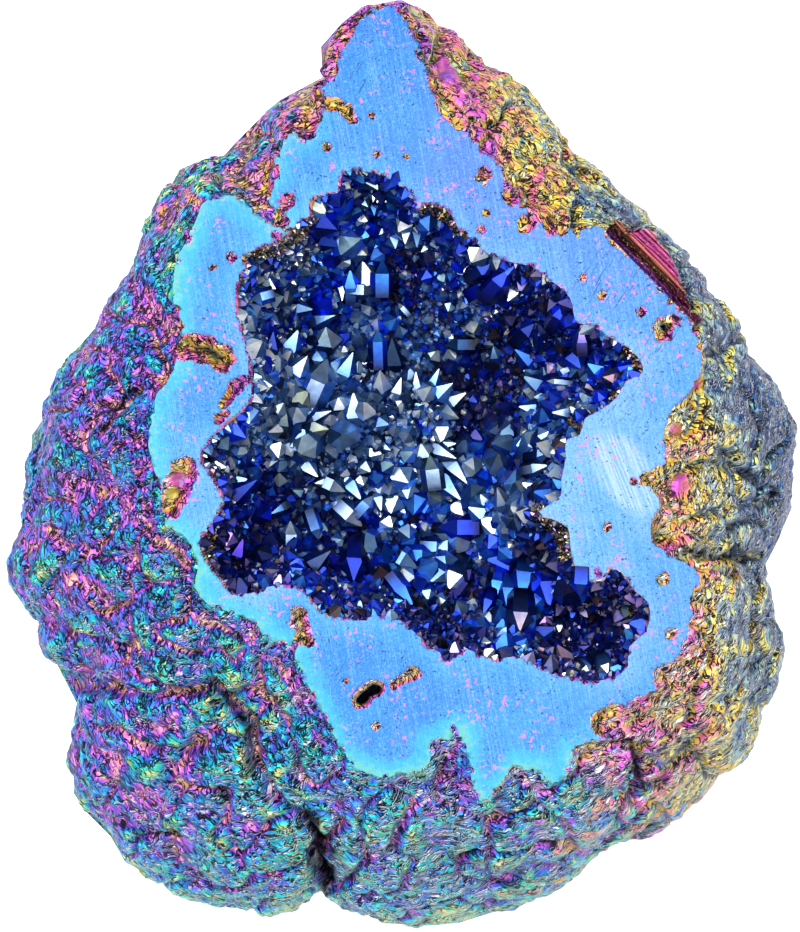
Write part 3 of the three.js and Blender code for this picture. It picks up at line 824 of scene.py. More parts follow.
def rind_grain(s, place):
    """Places that make wrinkles run round the stone and swirl."""
    plan = s.vector("MULTIPLY", place, LEVEL)
    ring = s.vector("MULTIPLY", s.vector("NORMALIZE", plan), (GRAIN_RADIUS,) * 3)
    climb = s.math("SUBTRACT", s.aligned(place, UP), s.vector("LENGTH", plan, output="Value"))
    grain = s.vector("ADD", ring, s.node("ShaderNodeCombineXYZ", {2: climb}).outputs[0])
    swirl = s.noise(place, 2.0, detail=1.0, output="Color")
    return s.vector("ADD", grain, s.vector("MULTIPLY", swirl, (1.8, 1.8, 1.8)))


def film_colour(s, place, stir, facing, glossy):
    """The film on the rind: its order shifts from patch to patch and with the way each plate leans."""
    thin = s.attribute("thin")
    away = s.math("SUBTRACT", s.aligned(facing, FILM_WAY), 0.6)
    films = []
    for name, colours, change in (("thin", THIN_COLOURS, 0.30), ("thick", THICK_COLOURS, -0.25)):
        order = s.add(s.times(stir, s.attribute(name + "_spread")), s.times(away, change),
                      s.attribute(name + "_order"))
        films.append(s.ramp(s.math("PINGPONG", order, 1.0), colours))
    border = s.add(thin, s.times(s.swing(place, 2.2), 1.4))
    colour = s.mix(s.span(border, 0.42, 0.58), films[1], films[0])
    lift = s.mix(glossy, (1.52, 1.48, 1.40, 1), (0.95, 0.95, 0.95, 1))
    return s.tinted(colour, lift), s.mix(thin, srgb(234, 188, 140), srgb(240, 222, 124))


def rind_looks(s, place):
    """Colour and normal of the rind: small scales under the film, parted by bent folds and creases, with
    painted shade in its hollows, grooves, gaps and on its sides, and painted highlights on its scales.
    """
    bent = rind_grain(s, place)
    scales, scale_lean = s.flakes(bent, SCALE_SIZE)
    fold = s.math("ABSOLUTE", s.swing(bent, SCALE_SIZE, detail=1.0))
    crease = s.math("ABSOLUTE", s.swing(bent, 2.0))
    groove = s.add(s.span(fold, 0.0, 0.07, -0.09, 0.0), s.span(crease, 0.0, 0.025, -0.12, 0.0))
    glossy = s.attribute("glossy")
    height = s.times(s.add(scales, groove), s.span(glossy, 0.2, 0.8, 1.0, 0.15))
    normal = s.bump(height, 1.0, 0.001)

    facing = s.node("ShaderNodeNewGeometry").outputs["Normal"]
    patch = s.swing(place, 3.4, detail=3.0, rough=0.6)
    swell = s.attribute("swell")
    stir = s.add(s.times(patch, 4.0), s.times(scale_lean, 0.6), s.times(swell, 0.9))
    film, furrow_film = film_colour(s, place, stir, facing, glossy)
    colour = s.mix(s.span(s.add(swell, patch), -0.5, -1.1, 0.0, 0.6), film, furrow_film)

    # Painted shade: darker in the hollows of the relief, on sides that face away from up, and in the grooves
    # of the folds and creases.
    hollow_shade = s.ramp(s.attribute("relief"), [(0.0, (0.75, 0.75, 0.80, 1)), (0.5, WHITE)])
    steep = s.ramp(s.aligned(facing, UP), [(0.0, (0.40, 0.48, 0.62, 1)), (0.7, WHITE)])
    open_rind = s.math("MINIMUM", s.span(fold, 0.018, 0.052), s.span(crease, 0.007, 0.022))
    groove_shade = s.ramp(s.math("MAXIMUM", glossy, open_rind), [
        (0.0, (0.010, 0.014, 0.040, 1)), (0.5, (0.35, 0.36, 0.46, 1)), (1.0, WHITE)])
    colour = s.tinted(colour, s.tinted(s.tinted(hollow_shade, steep), groove_shade))
    # Painted shade and painted highlight where the bumped scales lean away from and towards the light, and
    # near-black painted shade in the gaps of the creases.
    slope = s.math("SUBTRACT", s.aligned(normal, LIGHT_WAY), s.aligned(facing, LIGHT_WAY))
    return normal, s.layered(colour, [
        (s.span(slope, -0.20, -0.36, 0.0, 0.97), (0.004, 0.008, 0.030, 1)),
        (s.span(slope, 0.34, 0.54, 0.0, 0.8), (0.97, 0.97, 1.0, 1)),
        (s.span(s.attribute("cleft_shade"), 0.0, 1.0), (0.002, 0.003, 0.008, 1))])


def wedge_looks(s, place):
    """Ridges and colour of the wedge: a dark band, then a pink one, both drawn along the ridges, with painted
    shade and highlight over the ridges and painted gold glints.
    """
    across = s.math("SUBTRACT", s.aligned(place, (*WEDGE_ACROSS, 0)), WEDGE_START)
    ridge = s.streaks(place, -45, 0.20, 24.0)
    shifted = s.add(across, s.times(s.math("SUBTRACT", ridge, 0.5), 0.5))
    colour = s.ramp(s.math("DIVIDE", shifted, WEDGE_WIDTH), WEDGE_COLOURS)
    turn = s.add(s.times(across, 15.0), s.times(s.streaks(place, -45, 0.9, 40.0), 16.0))
    wave = s.times(s.add(s.math("SINE", turn), s.times(ridge, 2.0)), 0.5)
    far_end = s.span(s.aligned(place, (WEDGE_ACROSS[0], -WEDGE_ACROSS[1], 0)), 5.5, 9.5, 0.0, 0.75)
    glint = s.span(s.noise(place, 0.16, detail=1.0), 0.68, 0.72)
    # Painted shade in the troughs and painted highlight on the tops of the ridges, and painted gold glints.
    return wave, s.layered(s.tinted(colour, s.ramp(wave, RIDGE_SHADING)), [
        (far_end, srgb(96, 14, 56)), (glint, srgb(246, 206, 150))])


def face_colour(s, place, speckle, inside, inward):
    """Ground face: sky blue, paler or more violet from place to place, with grain, dots and specks."""
    lighter = s.add(s.attribute("pale"), s.times(s.swing(place, 5.0), 0.7),
                    s.span(inward, -2.5, -0.2, 0.0, 0.35))
    colour = s.ramp(lighter, [(0.0, srgb(34, 126, 222)), (0.5, srgb(66, 166, 236)),
                              (1.0, srgb(132, 194, 236))])
    gleam = s.noise(place, 0.17, detail=1.0)
    saw_lines = s.streaks(place, -80, 0.12, 7.0)
    coarse_lines = s.span(s.streaks(place, -68, 0.17, 12.0), 0.46, 0.58, 0.18, 0.55)
    polished = s.blob(place, 22.6, -0.8, 3.0, 5.5, 35)
    marks = s.times(s.attribute("scratched"), s.span(s.streaks(place, 58, 0.16, 1.6), 0.62, 0.68))
    clusters = s.span(s.noise(place, 3.2), 0.50, 0.60)
    specks = s.times(s.span(s.noise(place, 0.42, detail=1.0), 0.60, 0.66), clusters)
    pitted = s.span(s.noise(place, 2.0), 0.42, 0.55)
    pits = s.times(s.span(s.noise(place, 0.28, detail=1.0), 0.66, 0.70), pitted)
    shift = s.add(s.swing(place, 0.6), s.math("SUBTRACT", s.noise(place, 4.0), 0.4))
    fringe = s.add(inside, s.times(shift, 2.2))
    left_edge = s.span(s.attribute("thick_edge"), 0.35, 0.65)
    return s.layered(colour, [
        (s.times(s.attribute("violet"), 0.6), srgb(136, 150, 236)),
        (s.span(speckle, 0.35, 0.75, 0.0, 0.6), srgb(30, 98, 190)),
        (s.span(gleam, 0.5, 0.75, 0.0, 0.4), srgb(140, 222, 246)),
        (s.span(saw_lines, 0.5, 0.75, 0.0, 0.22), srgb(180, 222, 250)),
        (s.span(saw_lines, 0.5, 0.28, 0.0, 0.22), srgb(60, 120, 205)),
        (s.times(coarse_lines, polished), srgb(206, 226, 240)),
        (s.times(marks, 0.8), srgb(24, 60, 120)),
        (s.times(specks, 0.8), srgb(228, 134, 208)),
        (s.times(pits, 0.85), srgb(22, 56, 118)),
        (s.times(s.span(fringe, 2.4, 1.0, 0.0, 0.6), left_edge), srgb(70, 200, 214)),
        (s.times(s.span(fringe, 0.8, 0.1, 0.0, 0.35), left_edge), srgb(150, 220, 140))])


def wall_colour(s, place, speckle):
    """Bare wall of the hollow, dark between the points, partly its own colour and partly painted shade, with
    a gold crust along parts of its rim.
    """
    # Dark wall, partly its own colour and partly painted shade between the points.
    dark_wall_and_shade = s.ramp(s.noise(place, 0.9, detail=3.0), [(0.3, srgb(12, 14, 36)), (0.7, srgb(56, 52, 96))])
    crust = s.ramp(s.noise(place, 0.45, detail=1.0), [
        (0.30, srgb(60, 44, 26)), (0.42, srgb(190, 150, 80)), (0.55, srgb(240, 222, 160)),
        (0.68, srgb(240, 170, 190))])
    crusted = s.add(s.attribute("crust"), s.math("SUBTRACT", speckle, 0.5))
    return s.mix(s.span(crusted, CRUSTED, 0.5), dark_wall_and_shade, crust)


def stone_material():
    s = Shader("coated_stone")
    place = s.millimetres()
    below, inside, inward = (s.attribute(name) for name in ("below", "inside", "inward"))
    speckle = s.noise(place, 0.22, rough=0.7)
    rind_normal, rind_colour = rind_looks(s, place)
    ridges, wedge_colour = wedge_looks(s, place)

    ground = s.span(s.add(below, s.times(s.math("SUBTRACT", speckle, 0.5), 0.05)), 0.02, 0.06, 1.0, 0.0)
    wedge = s.span(s.attribute("wedge"), -0.2, -0.1)
    # Painted near-black shade in the crevices and low places of the ground face and at the top of the
    # hollow's wall.
    crevice_shade = s.times(s.span(below, 0.7, 1.1), s.span(inside, 1.0, 2.0), s.span(below, 4.0, 5.0, 1.0, 0.0))
    wall = s.times(s.span(inward, -0.15, 0.25), s.span(below, 0.15, 0.6),
                   s.span(below, 23.0, 24.0, 1.0, 0.0))
    colour = s.layered(rind_colour, [
        (ground, face_colour(s, place, speckle, inside, inward)), (wedge, wedge_colour),
        (crevice_shade, srgb(10, 12, 34)), (wall, wall_colour(s, place, speckle))])
    face_normal = s.bump(s.noise(place, 0.12), 0.12, 0.00005)
    normal = s.mix_normals(ground, rind_normal, face_normal)
    normal = s.mix_normals(wedge, normal, s.bump(ridges, 0.6, 0.0002))
    return s.surface({
        "Base Color": colour, "Roughness": s.add(s.times(ground, 0.15), 0.30), "Metallic": 0.3,
        "Specular IOR Level": 0.3, "Normal": normal})


def floor_material():
    s = Shader("pale_floor")
    metres = s.node("ShaderNodeTexCoord").outputs["Object"]
    tone = s.ramp(s.noise(metres, 0.4), [(0.0, (0.86, 0.86, 0.86, 1)), (1.0, (0.9, 0.9, 0.9, 1))])
    return s.surface({"Base Color": tone, "Roughness": 0.9, "Emission Color": WHITE,
                      "Emission Strength": 0.8})


# ---------------------------------------------------------------- the quartz points

# Zones of the hollow: middle, reach, usual half width of a point, share of pale facets, which stand largely
# for painted reflections of the lights, how blue and light the others are, and how far the zone turns to
# purple brown.
ZONES = [
    (-2.0, 1.5, 7.0, 0.62, 0.97, 0.60, 0.00), (-10.0, 5.5, 4.0, 0.68, 0.95, 0.60, 0.00),
    (-13.0, 17.5, 3.5, 0.55, 0.55, 0.60, 0.05), (-1.0, 26.5, 4.0, 0.55, 0.30, 0.40, 0.00),
    (-5.0, 22.0, 3.5, 0.80, 0.15, 0.95, 0.00), (-5.0, 17.5, 3.0, 0.55, 0.35, 0.80, 0.10),
    (5.5, 16.5, 3.5, 0.40, 0.60, 0.80, 0.10), (12.0, 20.5, 4.0, 0.60, 0.04, 0.25, 0.20),
    (19.0, 15.5, 4.0, 0.60, 0.04, 0.25, 0.15), (13.0, 14.5, 3.0, 0.42, 0.10, 0.40, 0.60),
    (0.5, 19.5, 2.0, 0.32, 0.05, 0.15, 1.00), (15.0, 8.5, 3.0, 0.55, 0.55, 0.65, 0.10),
    (21.0, 10.5, 3.0, 0.60, 0.15, 0.60, 0.10), (8.0, 6.5, 3.0, 0.36, 0.08, 0.20, 0.90),
    (13.0, 2.5, 3.5, 0.65, 0.50, 0.70, 0.10), (10.0, -2.5, 3.0, 0.70, 0.50, 0.85, 0.05),
    (2.0, -9.5, 4.0, 0.65, 0.50, 0.95, 0.05), (-6.0, -9.5, 4.0, 0.55, 0.15, 0.65, 0.30),
    (-15.0, -3.5, 4.0, 0.50, 0.25, 0.50, 0.30), (-16.0, -8.5, 4.0, 0.48, 0.10, 0.35, 0.65),
    (-9.0, -4.5, 3.0, 0.45, 0.65, 0.60, 0.10), (2.0, -15.5, 4.0, 0.42, 0.06, 0.25, 0.70),
    (11.0, -12.5, 3.5, 0.70, 0.30, 0.90, 0.10), (7.5, -12.5, 1.5, 0.26, 0.10, 0.15, 1.00),
    (20.0, -16.5, 4.0, 0.48, 0.10, 0.40, 0.75), (15.0, -9.5, 3.0, 0.42, 0.10, 0.40, 0.60),
    (-15.5, 2.5, 3.0, 0.55, 0.60, 0.65, 0.05), (-9.2, 20.8, 1.6, 0.22, 0.90, 0.60, 0.00),
]

# Colours that the largest points show on the facet that faces up, where painted light falls; white, ivory and
# pale stand largely for painted reflections of the lights.
LIT_TONES = {
    "white": (246, 251, 250), "ivory": (226, 230, 216), "olive": (150, 156, 136),
    "steel": (132, 165, 190), "pale": (160, 200, 240), "mid": (64, 138, 232),
    "azure": (46, 118, 222), "ultra": (30, 68, 212), "deep": (26, 64, 168), "navy": (18, 38, 116),
    "teal": (38, 84, 118), "lilac": (196, 150, 226), "pink": (240, 178, 192),
    "mauve": (150, 136, 152), "slate": (44, 62, 96), "cream": (250, 232, 208), "violet": (74, 40, 170),
}

# The largest points: tip, middle of the root end, width, how they lie and tone. A "facet" point
# turns one end facet up, a "ridge" point an edge, a "bar" a side, and a "star" stands upright.
POINTS = [
    # upper left and the left of the mound
    (-12.7, 13.4, -12.9, 11.5, 1.3, "facet", "deep"), (-10.3, 13.5, -11.2, 11.7, 1.3, "facet", "pale"),
    (-12.2, 11.2, -12.3, 9.4, 0.8, "facet", "pale"), (-9.3, 11.0, -10.7, 9.1, 1.6, "facet", "white"),
    (-7.3, 10.6, -8.5, 7.9, 2.0, "bar", "white"), (-4.7, 11.3, -5.7, 9.1, 1.4, "facet", "steel"),
    (-2.3, 13.6, -2.2, 10.7, 1.1, "bar", "mid"), (-0.8, 12.8, -0.8, 9.9, 2.0, "facet", "teal"),
    (-2.0, 9.6, -1.9, 7.3, 2.1, "ridge", "ivory"), (0.1, 8.8, -0.4, 7.3, 1.0, "facet", "white"),
    (1.6, 9.4, 1.7, 7.6, 0.9, "facet", "white"), (3.9, 9.7, 3.0, 7.9, 1.0, "facet", "pale"),
    (5.3, 8.2, 3.6, 6.8, 2.1, "ridge", "steel"), (6.6, 7.3, 5.1, 6.4, 1.1, "facet", "white"),
    (5.9, 4.7, 4.2, 5.6, 1.6, "ridge", "ivory"), (4.1, 2.4, 4.1, 4.0, 1.5, "facet", "ivory"),
    (2.1, 2.1, 2.3, 1.0, 1.3, "facet", "ivory"), (3.0, 1.0, 3.3, -1.2, 1.3, "bar", "ivory"),
    (5.6, 2.2, 4.2, 2.0, 0.8, "facet", "white"), (5.6, 0.7, 3.6, 1.6, 1.1, "facet", "ivory"),
    (6.7, -1.8, 5.1, 0.1, 1.3, "facet", "white"), (6.1, -3.4, 4.2, -1.3, 1.5, "facet", "pale"),
    (0.7, -3.3, 0.5, -1.9, 1.5, "facet", "pale"), (1.3, -4.9, 1.5, -2.8, 2.4, "ridge", "mid"),
    (-4.6, 7.2, -4.4, 4.8, 1.8, "facet", "white"), (-7.2, 3.6, -9.1, 3.5, 2.0, "ridge", "olive"),
    (-6.9, 5.5, -9.0, 4.8, 1.0, "facet", "white"), (-9.3, 7.3, -10.7, 6.2, 1.8, "facet", "olive"),
    (-7.9, 6.9, -9.9, 5.0, 1.0, "facet", "pale"), (-11.5, 5.8, -11.7, 4.0, 1.0, "facet", "olive"),
    (-12.2, 0.8, -12.5, 2.2, 1.4, "facet", "white"),
    (-9.7, 3.6, -10.2, 1.6, 1.7, "facet", "pale"), (-1.9, 1.2, -3.1, 1.3, 0.9, "facet", "ivory"),
    (-8.3, -1.1, -9.6, 0.1, 1.1, "facet", "ivory"), (-8.5, -1.8, -7.0, -1.6, 0.9, "facet", "ivory"),
    (-5.5, -2.6, -6.4, -2.2, 1.3, "bar", "white"),
    (-4.0, -3.3, -5.1, -1.8, 1.1, "facet", "pale"),
    (-1.5, -1.4, -1.3, -1.2, 1.1, "star", "steel"),
    (-2.1, -2.8, -2.2, -2.0, 1.1, "facet", "white"),
    (-5.1, 0.0, -5.0, 0.1, 1.1, "star", "steel"),
    (-1.9, -4.5, -2.2, -3.2, 0.9, "facet", "white"), (-0.9, -4.8, -0.9, -3.7, 1.6, "facet", "pale"),
    (-2.7, -3.1, -3.9, -4.4, 1.0, "bar", "pale"), (-3.9, -6.1, -5.3, -4.8, 1.4, "bar", "white"),
    (-6.9, -4.7, -6.4, -4.7, 1.2, "bar", "white"), (-8.2, -7.4, -8.9, -5.3, 0.9, "bar", "pale"),
    (-11.0, -5.6, -11.0, -7.2, 1.2, "bar", "white"), (-2.5, -5.6, -2.6, -5.5, 1.7, "star", "ultra"),
    (2.7, -5.6, 2.8, -5.5, 1.2, "star", "ultra"), (3.9, -6.2, 6.3, -6.2, 1.6, "bar", "ultra"),
    # upper part
    (-2.7, 26.4, -2.5, 27.8, 0.9, "facet", "white"), (-2.3, 26.3, -1.8, 27.5, 0.8, "facet", "white"),
    (-2.6, 25.1, -2.7, 26.4, 0.9, "facet", "mid"), (-0.9, 23.6, -0.9, 23.4, 1.4, "star", "lilac"),
    (0.5, 22.3, 0.6, 24.0, 1.2, "facet", "white"), (-0.5, 21.8, -0.6, 23.0, 1.0, "facet", "pale"),
    (1.7, 21.9, 1.7, 23.6, 1.0, "facet", "steel"), (2.9, 23.5, 2.4, 24.8, 1.3, "facet", "mid"),
    (-4.4, 22.6, -3.4, 23.4, 1.1, "facet", "mid"), (-3.8, 20.4, -3.1, 18.2, 1.7, "facet", "white"),
    (-5.0, 19.6, -5.0, 17.8, 1.1, "facet", "mid"), (-1.8, 20.6, -1.8, 18.2, 1.3, "bar", "mid"),
    (-2.5, 17.6, -4.3, 17.7, 1.0, "bar", "white"), (-5.8, 16.6, -5.8, 18.0, 0.8, "facet", "ivory"),
    (-11.9, 19.5, -11.8, 19.4, 1.1, "star", "ivory"), (-11.1, 17.9, -11.0, 17.8, 1.6, "star", "olive"),
    (-12.5, 17.7, -13.5, 18.6, 0.9, "facet", "white"), (-14.9, 16.6, -13.5, 17.0, 0.9, "bar", "pale"),
    (-8.8, 15.7, -10.4, 15.8, 1.0, "facet", "steel"), (-6.4, 15.1, -9.0, 14.2, 1.6, "ridge", "steel"),
    (-2.3, 14.7, -2.2, 14.8, 0.9, "star", "white"), (-0.2, 16.3, 0.6, 15.4, 0.5, "bar", "white"),
    (10.8, 19.5, 9.6, 18.1, 1.4, "facet", "ultra"), (9.0, 20.1, 8.0, 19.5, 1.1, "facet", "deep"),
    (9.2, 18.2, 8.2, 17.7, 1.2, "facet", "deep"), (16.5, 16.1, 15.8, 14.8, 1.1, "facet", "ultra"),
    (18.1, 14.0, 18.2, 12.2, 1.0, "facet", "lilac"), (13.4, 14.2, 12.4, 13.2, 1.2, "facet", "deep"),
    (14.3, 14.2, 14.3, 13.0, 1.0, "facet", "deep"), (9.4, 12.0, 9.7, 10.8, 1.2, "ridge", "pale"),
    (4.6, 12.1, 6.4, 12.1, 1.1, "bar", "teal"), (11.6, 11.6, 13.2, 10.4, 1.1, "facet", "mid"),
    # right of the middle
    (12.5, 8.9, 14.1, 7.9, 1.2, "facet", "steel"), (14.8, 8.5, 16.7, 8.3, 0.6, "bar", "white"),
    (15.3, 5.3, 17.0, 5.3, 0.9, "facet", "white"), (12.0, 5.9, 13.5, 5.6, 1.0, "facet", "steel"),
    (19.6, 5.6, 19.5, 5.5, 1.3, "star", "olive"), (23.2, 10.1, 21.9, 9.4, 1.0, "facet", "ultra"),
    (8.5, 9.0, 8.4, 9.1, 1.3, "star", "ultra"), (14.4, 9.9, 14.7, 9.6, 1.2, "ridge", "pale"),
    (16.0, 10.5, 16.3, 10.0, 0.8, "bar", "white"), (17.2, 10.4, 17.1, 10.5, 1.2, "star", "mid"),
    (9.2, 2.2, 11.3, 2.4, 2.1, "ridge", "steel"), (14.1, 3.5, 13.5, 1.7, 1.7, "facet", "white"),
    (14.9, 3.4, 14.4, 2.9, 1.0, "facet", "pale"), (12.3, 2.9, 12.1, 1.9, 0.9, "facet", "pale"),
    (12.4, 0.5, 12.1, 0.4, 1.6, "star", "pink"), (15.0, 1.2, 13.6, 0.9, 1.4, "ridge", "steel"),
    (14.8, 0.0, 13.3, -0.3, 0.9, "facet", "white"), (8.7, -1.4, 8.6, -1.6, 2.4, "star", "azure"),
    (9.8, -2.2, 10.6, -4.3, 1.8, "ridge", "white"), (12.3, -2.6, 12.4, -4.4, 1.3, "ridge", "steel"),
    (10.4, -0.8, 10.3, -1.2, 0.7, "facet", "white"), (8.1, -2.9, 8.7, -3.8, 0.9, "facet", "white"),
    (6.9, -4.2, 8.4, -4.9, 1.3, "facet", "pale"), (9.4, -4.8, 9.5, -4.7, 1.1, "star", "pale"),
    # lower middle
    (4.9, -8.3, 3.1, -8.2, 1.1, "bar", "pale"), (5.8, -9.4, 3.9, -9.6, 1.1, "bar", "pale"),
    (5.0, -12.3, 5.5, -10.9, 1.6, "facet", "white"), (3.1, -11.6, 3.8, -10.3, 1.5, "facet", "pale"),
    (8.8, -9.5, 11.1, -9.7, 1.6, "facet", "deep"), (9.4, -13.5, 9.8, -11.5, 1.3, "facet", "mid"),
    (10.8, -14.3, 10.9, -12.3, 1.2, "facet", "mid"), (12.1, -14.2, 12.5, -10.7, 1.7, "facet", "mid"),
    (15.0, -14.0, 14.9, -11.5, 1.8, "facet", "ultra"), (18.0, -13.1, 18.1, -11.3, 1.2, "bar", "deep"),
    (8.4, -14.8, 8.9, -13.4, 0.9, "facet", "ultra"), (12.0, -16.6, 12.1, -14.7, 1.5, "facet", "mauve"),
    (16.0, -16.7, 16.0, -16.0, 0.6, "facet", "cream"), (17.2, -15.1, 17.3, -15.0, 0.6, "star", "pink"),
    (21.3, -15.3, 21.5, -15.2, 0.7, "bar", "cream"), (9.0, -18.5, 9.1, -18.4, 1.3, "star", "violet"),
    (20.0, -17.6, 20.1, -17.4, 1.3, "star", "violet"), (21.9, -19.0, 22.0, -18.9, 1.0, "star", "violet"),
    (17.7, -18.7, 17.8, -18.6, 0.8, "star", "mid"), (18.9, -20.7, 18.6, -20.4, 0.7, "facet", "cream"),
    (20.8, -20.8, 20.6, -20.3, 0.9, "facet", "cream"), (7.0, -8.1, 7.1, -8.2, 0.6, "star", "cream"),
    (7.6, -15.1, 7.5, -15.2, 0.6, "star", "cream"), (5.4, -18.4, 5.5, -18.3, 0.5, "star", "cream"),
    (0.3, -10.4, 0.4, -11.7, 2.0, "ridge", "white"), (1.7, -10.3, 1.2, -10.0, 1.5, "bar", "pale"),
    (3.4, -9.0, 1.2, -9.0, 1.1, "bar", "mid"), (1.2, -13.9, -0.1, -12.2, 1.2, "facet", "mid"),
    (2.8, -13.4, 2.7, -12.8, 0.9, "facet", "pale"), (-0.1, -9.3, 0.0, -9.4, 0.8, "star", "pale"),
    (-1.5, -9.9, -1.6, -9.8, 1.4, "star", "mid"), (-1.5, -11.9, -1.6, -11.8, 0.8, "star", "pink"),
    (-3.1, -13.1, -2.9, -12.8, 0.8, "star", "pink"), (-1.4, -8.3, -1.6, -8.4, 1.1, "star", "ultra"),
    # lower left
    (-14.4, -1.5, -16.8, -3.2, 1.3, "facet", "deep"), (-17.2, -5.8, -17.1, -5.7, 1.4, "star", "lilac"),
    (-17.4, -8.0, -17.3, -6.9, 1.2, "facet", "lilac"), (-13.0, -4.9, -11.6, -4.1, 0.7, "facet", "pale"),
    (-15.8, -7.4, -16.4, -9.1, 1.1, "facet", "violet"), (-13.3, -10.4, -13.2, -10.3, 1.3, "star", "deep"),
    (-17.4, -9.6, -17.5, -9.5, 1.1, "star", "mid"), (-7.0, -8.6, -8.9, -10.2, 1.4, "facet", "slate"),
    (-6.7, -10.0, -6.6, -9.9, 2.1, "star", "violet"), (-4.7, -11.5, -4.6, -9.3, 1.7, "facet", "ultra"),
    (-6.2, -11.4, -6.1, -11.3, 0.5, "star", "pink"), (-7.3, -13.9, -6.5, -12.6, 0.5, "facet", "pink"),
    (-8.5, -11.2, -8.4, -11.1, 0.4, "star", "cream"), (-7.7, -12.1, -7.6, -12.0, 0.5, "star", "cream"),
]


SIDES = 6                     # of a quartz point


def cut_solid(normals, distances):
    """Corners, faces and face normals of the convex body that a set of planes cuts out."""
    picks = np.array(list(itertools.combinations(range(len(normals)), 3)))
    sound = np.abs(np.linalg.det(normals[picks])) > 1e-4
    picks = picks[sound]
    corners = np.linalg.solve(normals[picks], distances[picks][..., None])[..., 0]
    corners = corners[(corners @ normals.T <= distances + 1e-6).all(axis=1)]
    corners = np.unique(np.round(corners, 4), axis=0)
    faces, facings = [], []
    for normal, distance in zip(normals, distances):
        on = np.nonzero(np.abs(corners @ normal - distance) < 1e-3)[0]
        if len(on) < 3:
            continue
        across = np.cross(normal, (0.3, 0.5, 0.8))
        along = np.cross(normal, across)
        from_middle = corners[on] - corners[on].mean(axis=0)
        turn = np.arctan2(from_middle @ along, from_middle @ across)
        faces.append(on[np.argsort(turn)].tolist())
        facings.append(normal)
    return corners, faces, np.array(facings)


def point_shape(rng, end_tilt, length, roughness):
    """A six-sided quartz point of half width 1, with its tip at the origin and its root at -length."""
    turns = np.radians(np.arange(SIDES) * 360 / SIDES + rng.uniform(-3, 3, SIDES))
    tilt = math.radians(end_tilt)
    ends = np.column_stack([math.sin(tilt) * np.cos(turns), math.sin(tilt) * np.sin(turns),
                            np.full(SIDES, math.cos(tilt))])
    sides = on_level(np.column_stack([np.cos(turns), np.sin(turns)]))
    back = rng.uniform(0, roughness, SIDES)
    back[0] = 0
    width = 1 + rng.uniform(-0.8, 0.8, SIDES) * roughness
    normals = np.vstack([ends, sides, [(0, 0, -1)]])
    return cut_solid(normals, np.concatenate([back, width, [length]]))


class PointMesh:
    """Many quartz points gathered into one mesh, each facet with its own colour and painted light and shade.
    """

    def __init__(self):
        self.corners, self.faces, self.tints, self.rises = [], [], [], []
        self.count = 0

    def add(self, shape, tip, axis, size, spin, colour, shade, rng):
        corners, faces, facings = shape
        side = np.cross(axis, spin)
        side /= np.linalg.norm(side)
        front = np.cross(side, axis)
        placed = corners @ np.array([front, side, axis]) * size + tip
        self.faces += [[self.count + k for k in face] for face in faces]
        self.tints.append(lit_facet_colours(colour, facings @ (front[2], side[2], axis[2]), shade, rng))
        self.rises.append(np.clip(1 + corners[:, 2] / 3.0, 0, 1))
        self.corners.append(placed)
        self.count += len(placed)

    def build(self, name):
        mesh = bpy.data.meshes.new(name)
        mesh.from_pydata((np.vstack(self.corners) * MM).tolist(), [], self.faces)
        tint = mesh.attributes.new("tint", "FLOAT_COLOR", "FACE")
        tint.data.foreach_set("color", np.vstack(self.tints).astype(np.float32).ravel())
        rise = mesh.attributes.new("rise", "FLOAT", "POINT")
        rise.data.foreach_set("value", np.concatenate(self.rises).astype(np.float32))
        return mesh


SHADED_BLUE = np.array((0.06, 0.18, 0.62))      # share of its colour that a turned facet keeps in painted shade
SHADED_PALE = np.array((0.06, 0.15, 0.30))
HALF_SHADED = (0.20, 0.36, 0.54)
DARKEST = (0.004, 0.010, 0.034)


def lit_facet_colours(colour, rises, shade, rng):
    """Colours of a point's facets with painted light and shade: its own, lit, where they face up, and a
    painted dark blue shade where they don't.
    """
    gleam = np.exp(rng.normal(size=(len(rises), 1)) * 0.35)
    # Painted light and shade: facets that face up are lit, turned ones fall to a dark blue shade.
    facing = smooth_step(0.64, 0.92, rises)[:, None]
    colour = np.array(colour)
    paleness = min(colour[0] / colour[2], 1) * min(colour[2], 1)
    blues = SHADED_BLUE * (1 - paleness) + SHADED_PALE * paleness
    dark = colour * blues * shade * gleam ** 2 + DARKEST
    bright = np.minimum(colour * gleam, 0.88) * (1 - np.clip(1 - gleam, 0, 0.6) * (0.8, 0.35, 0.0))
    middle = colour * HALF_SHADED
    share = facing * facing
    shades = dark * (1 - facing) ** 2 + middle * 2 * facing * (1 - facing) + bright * share
    return np.column_stack([shades, np.ones(len(rises))])


def hollow_height(plan):
    depth, _ = hollow_depth(np.atleast_2d(plan))
    return FACE_Z - depth


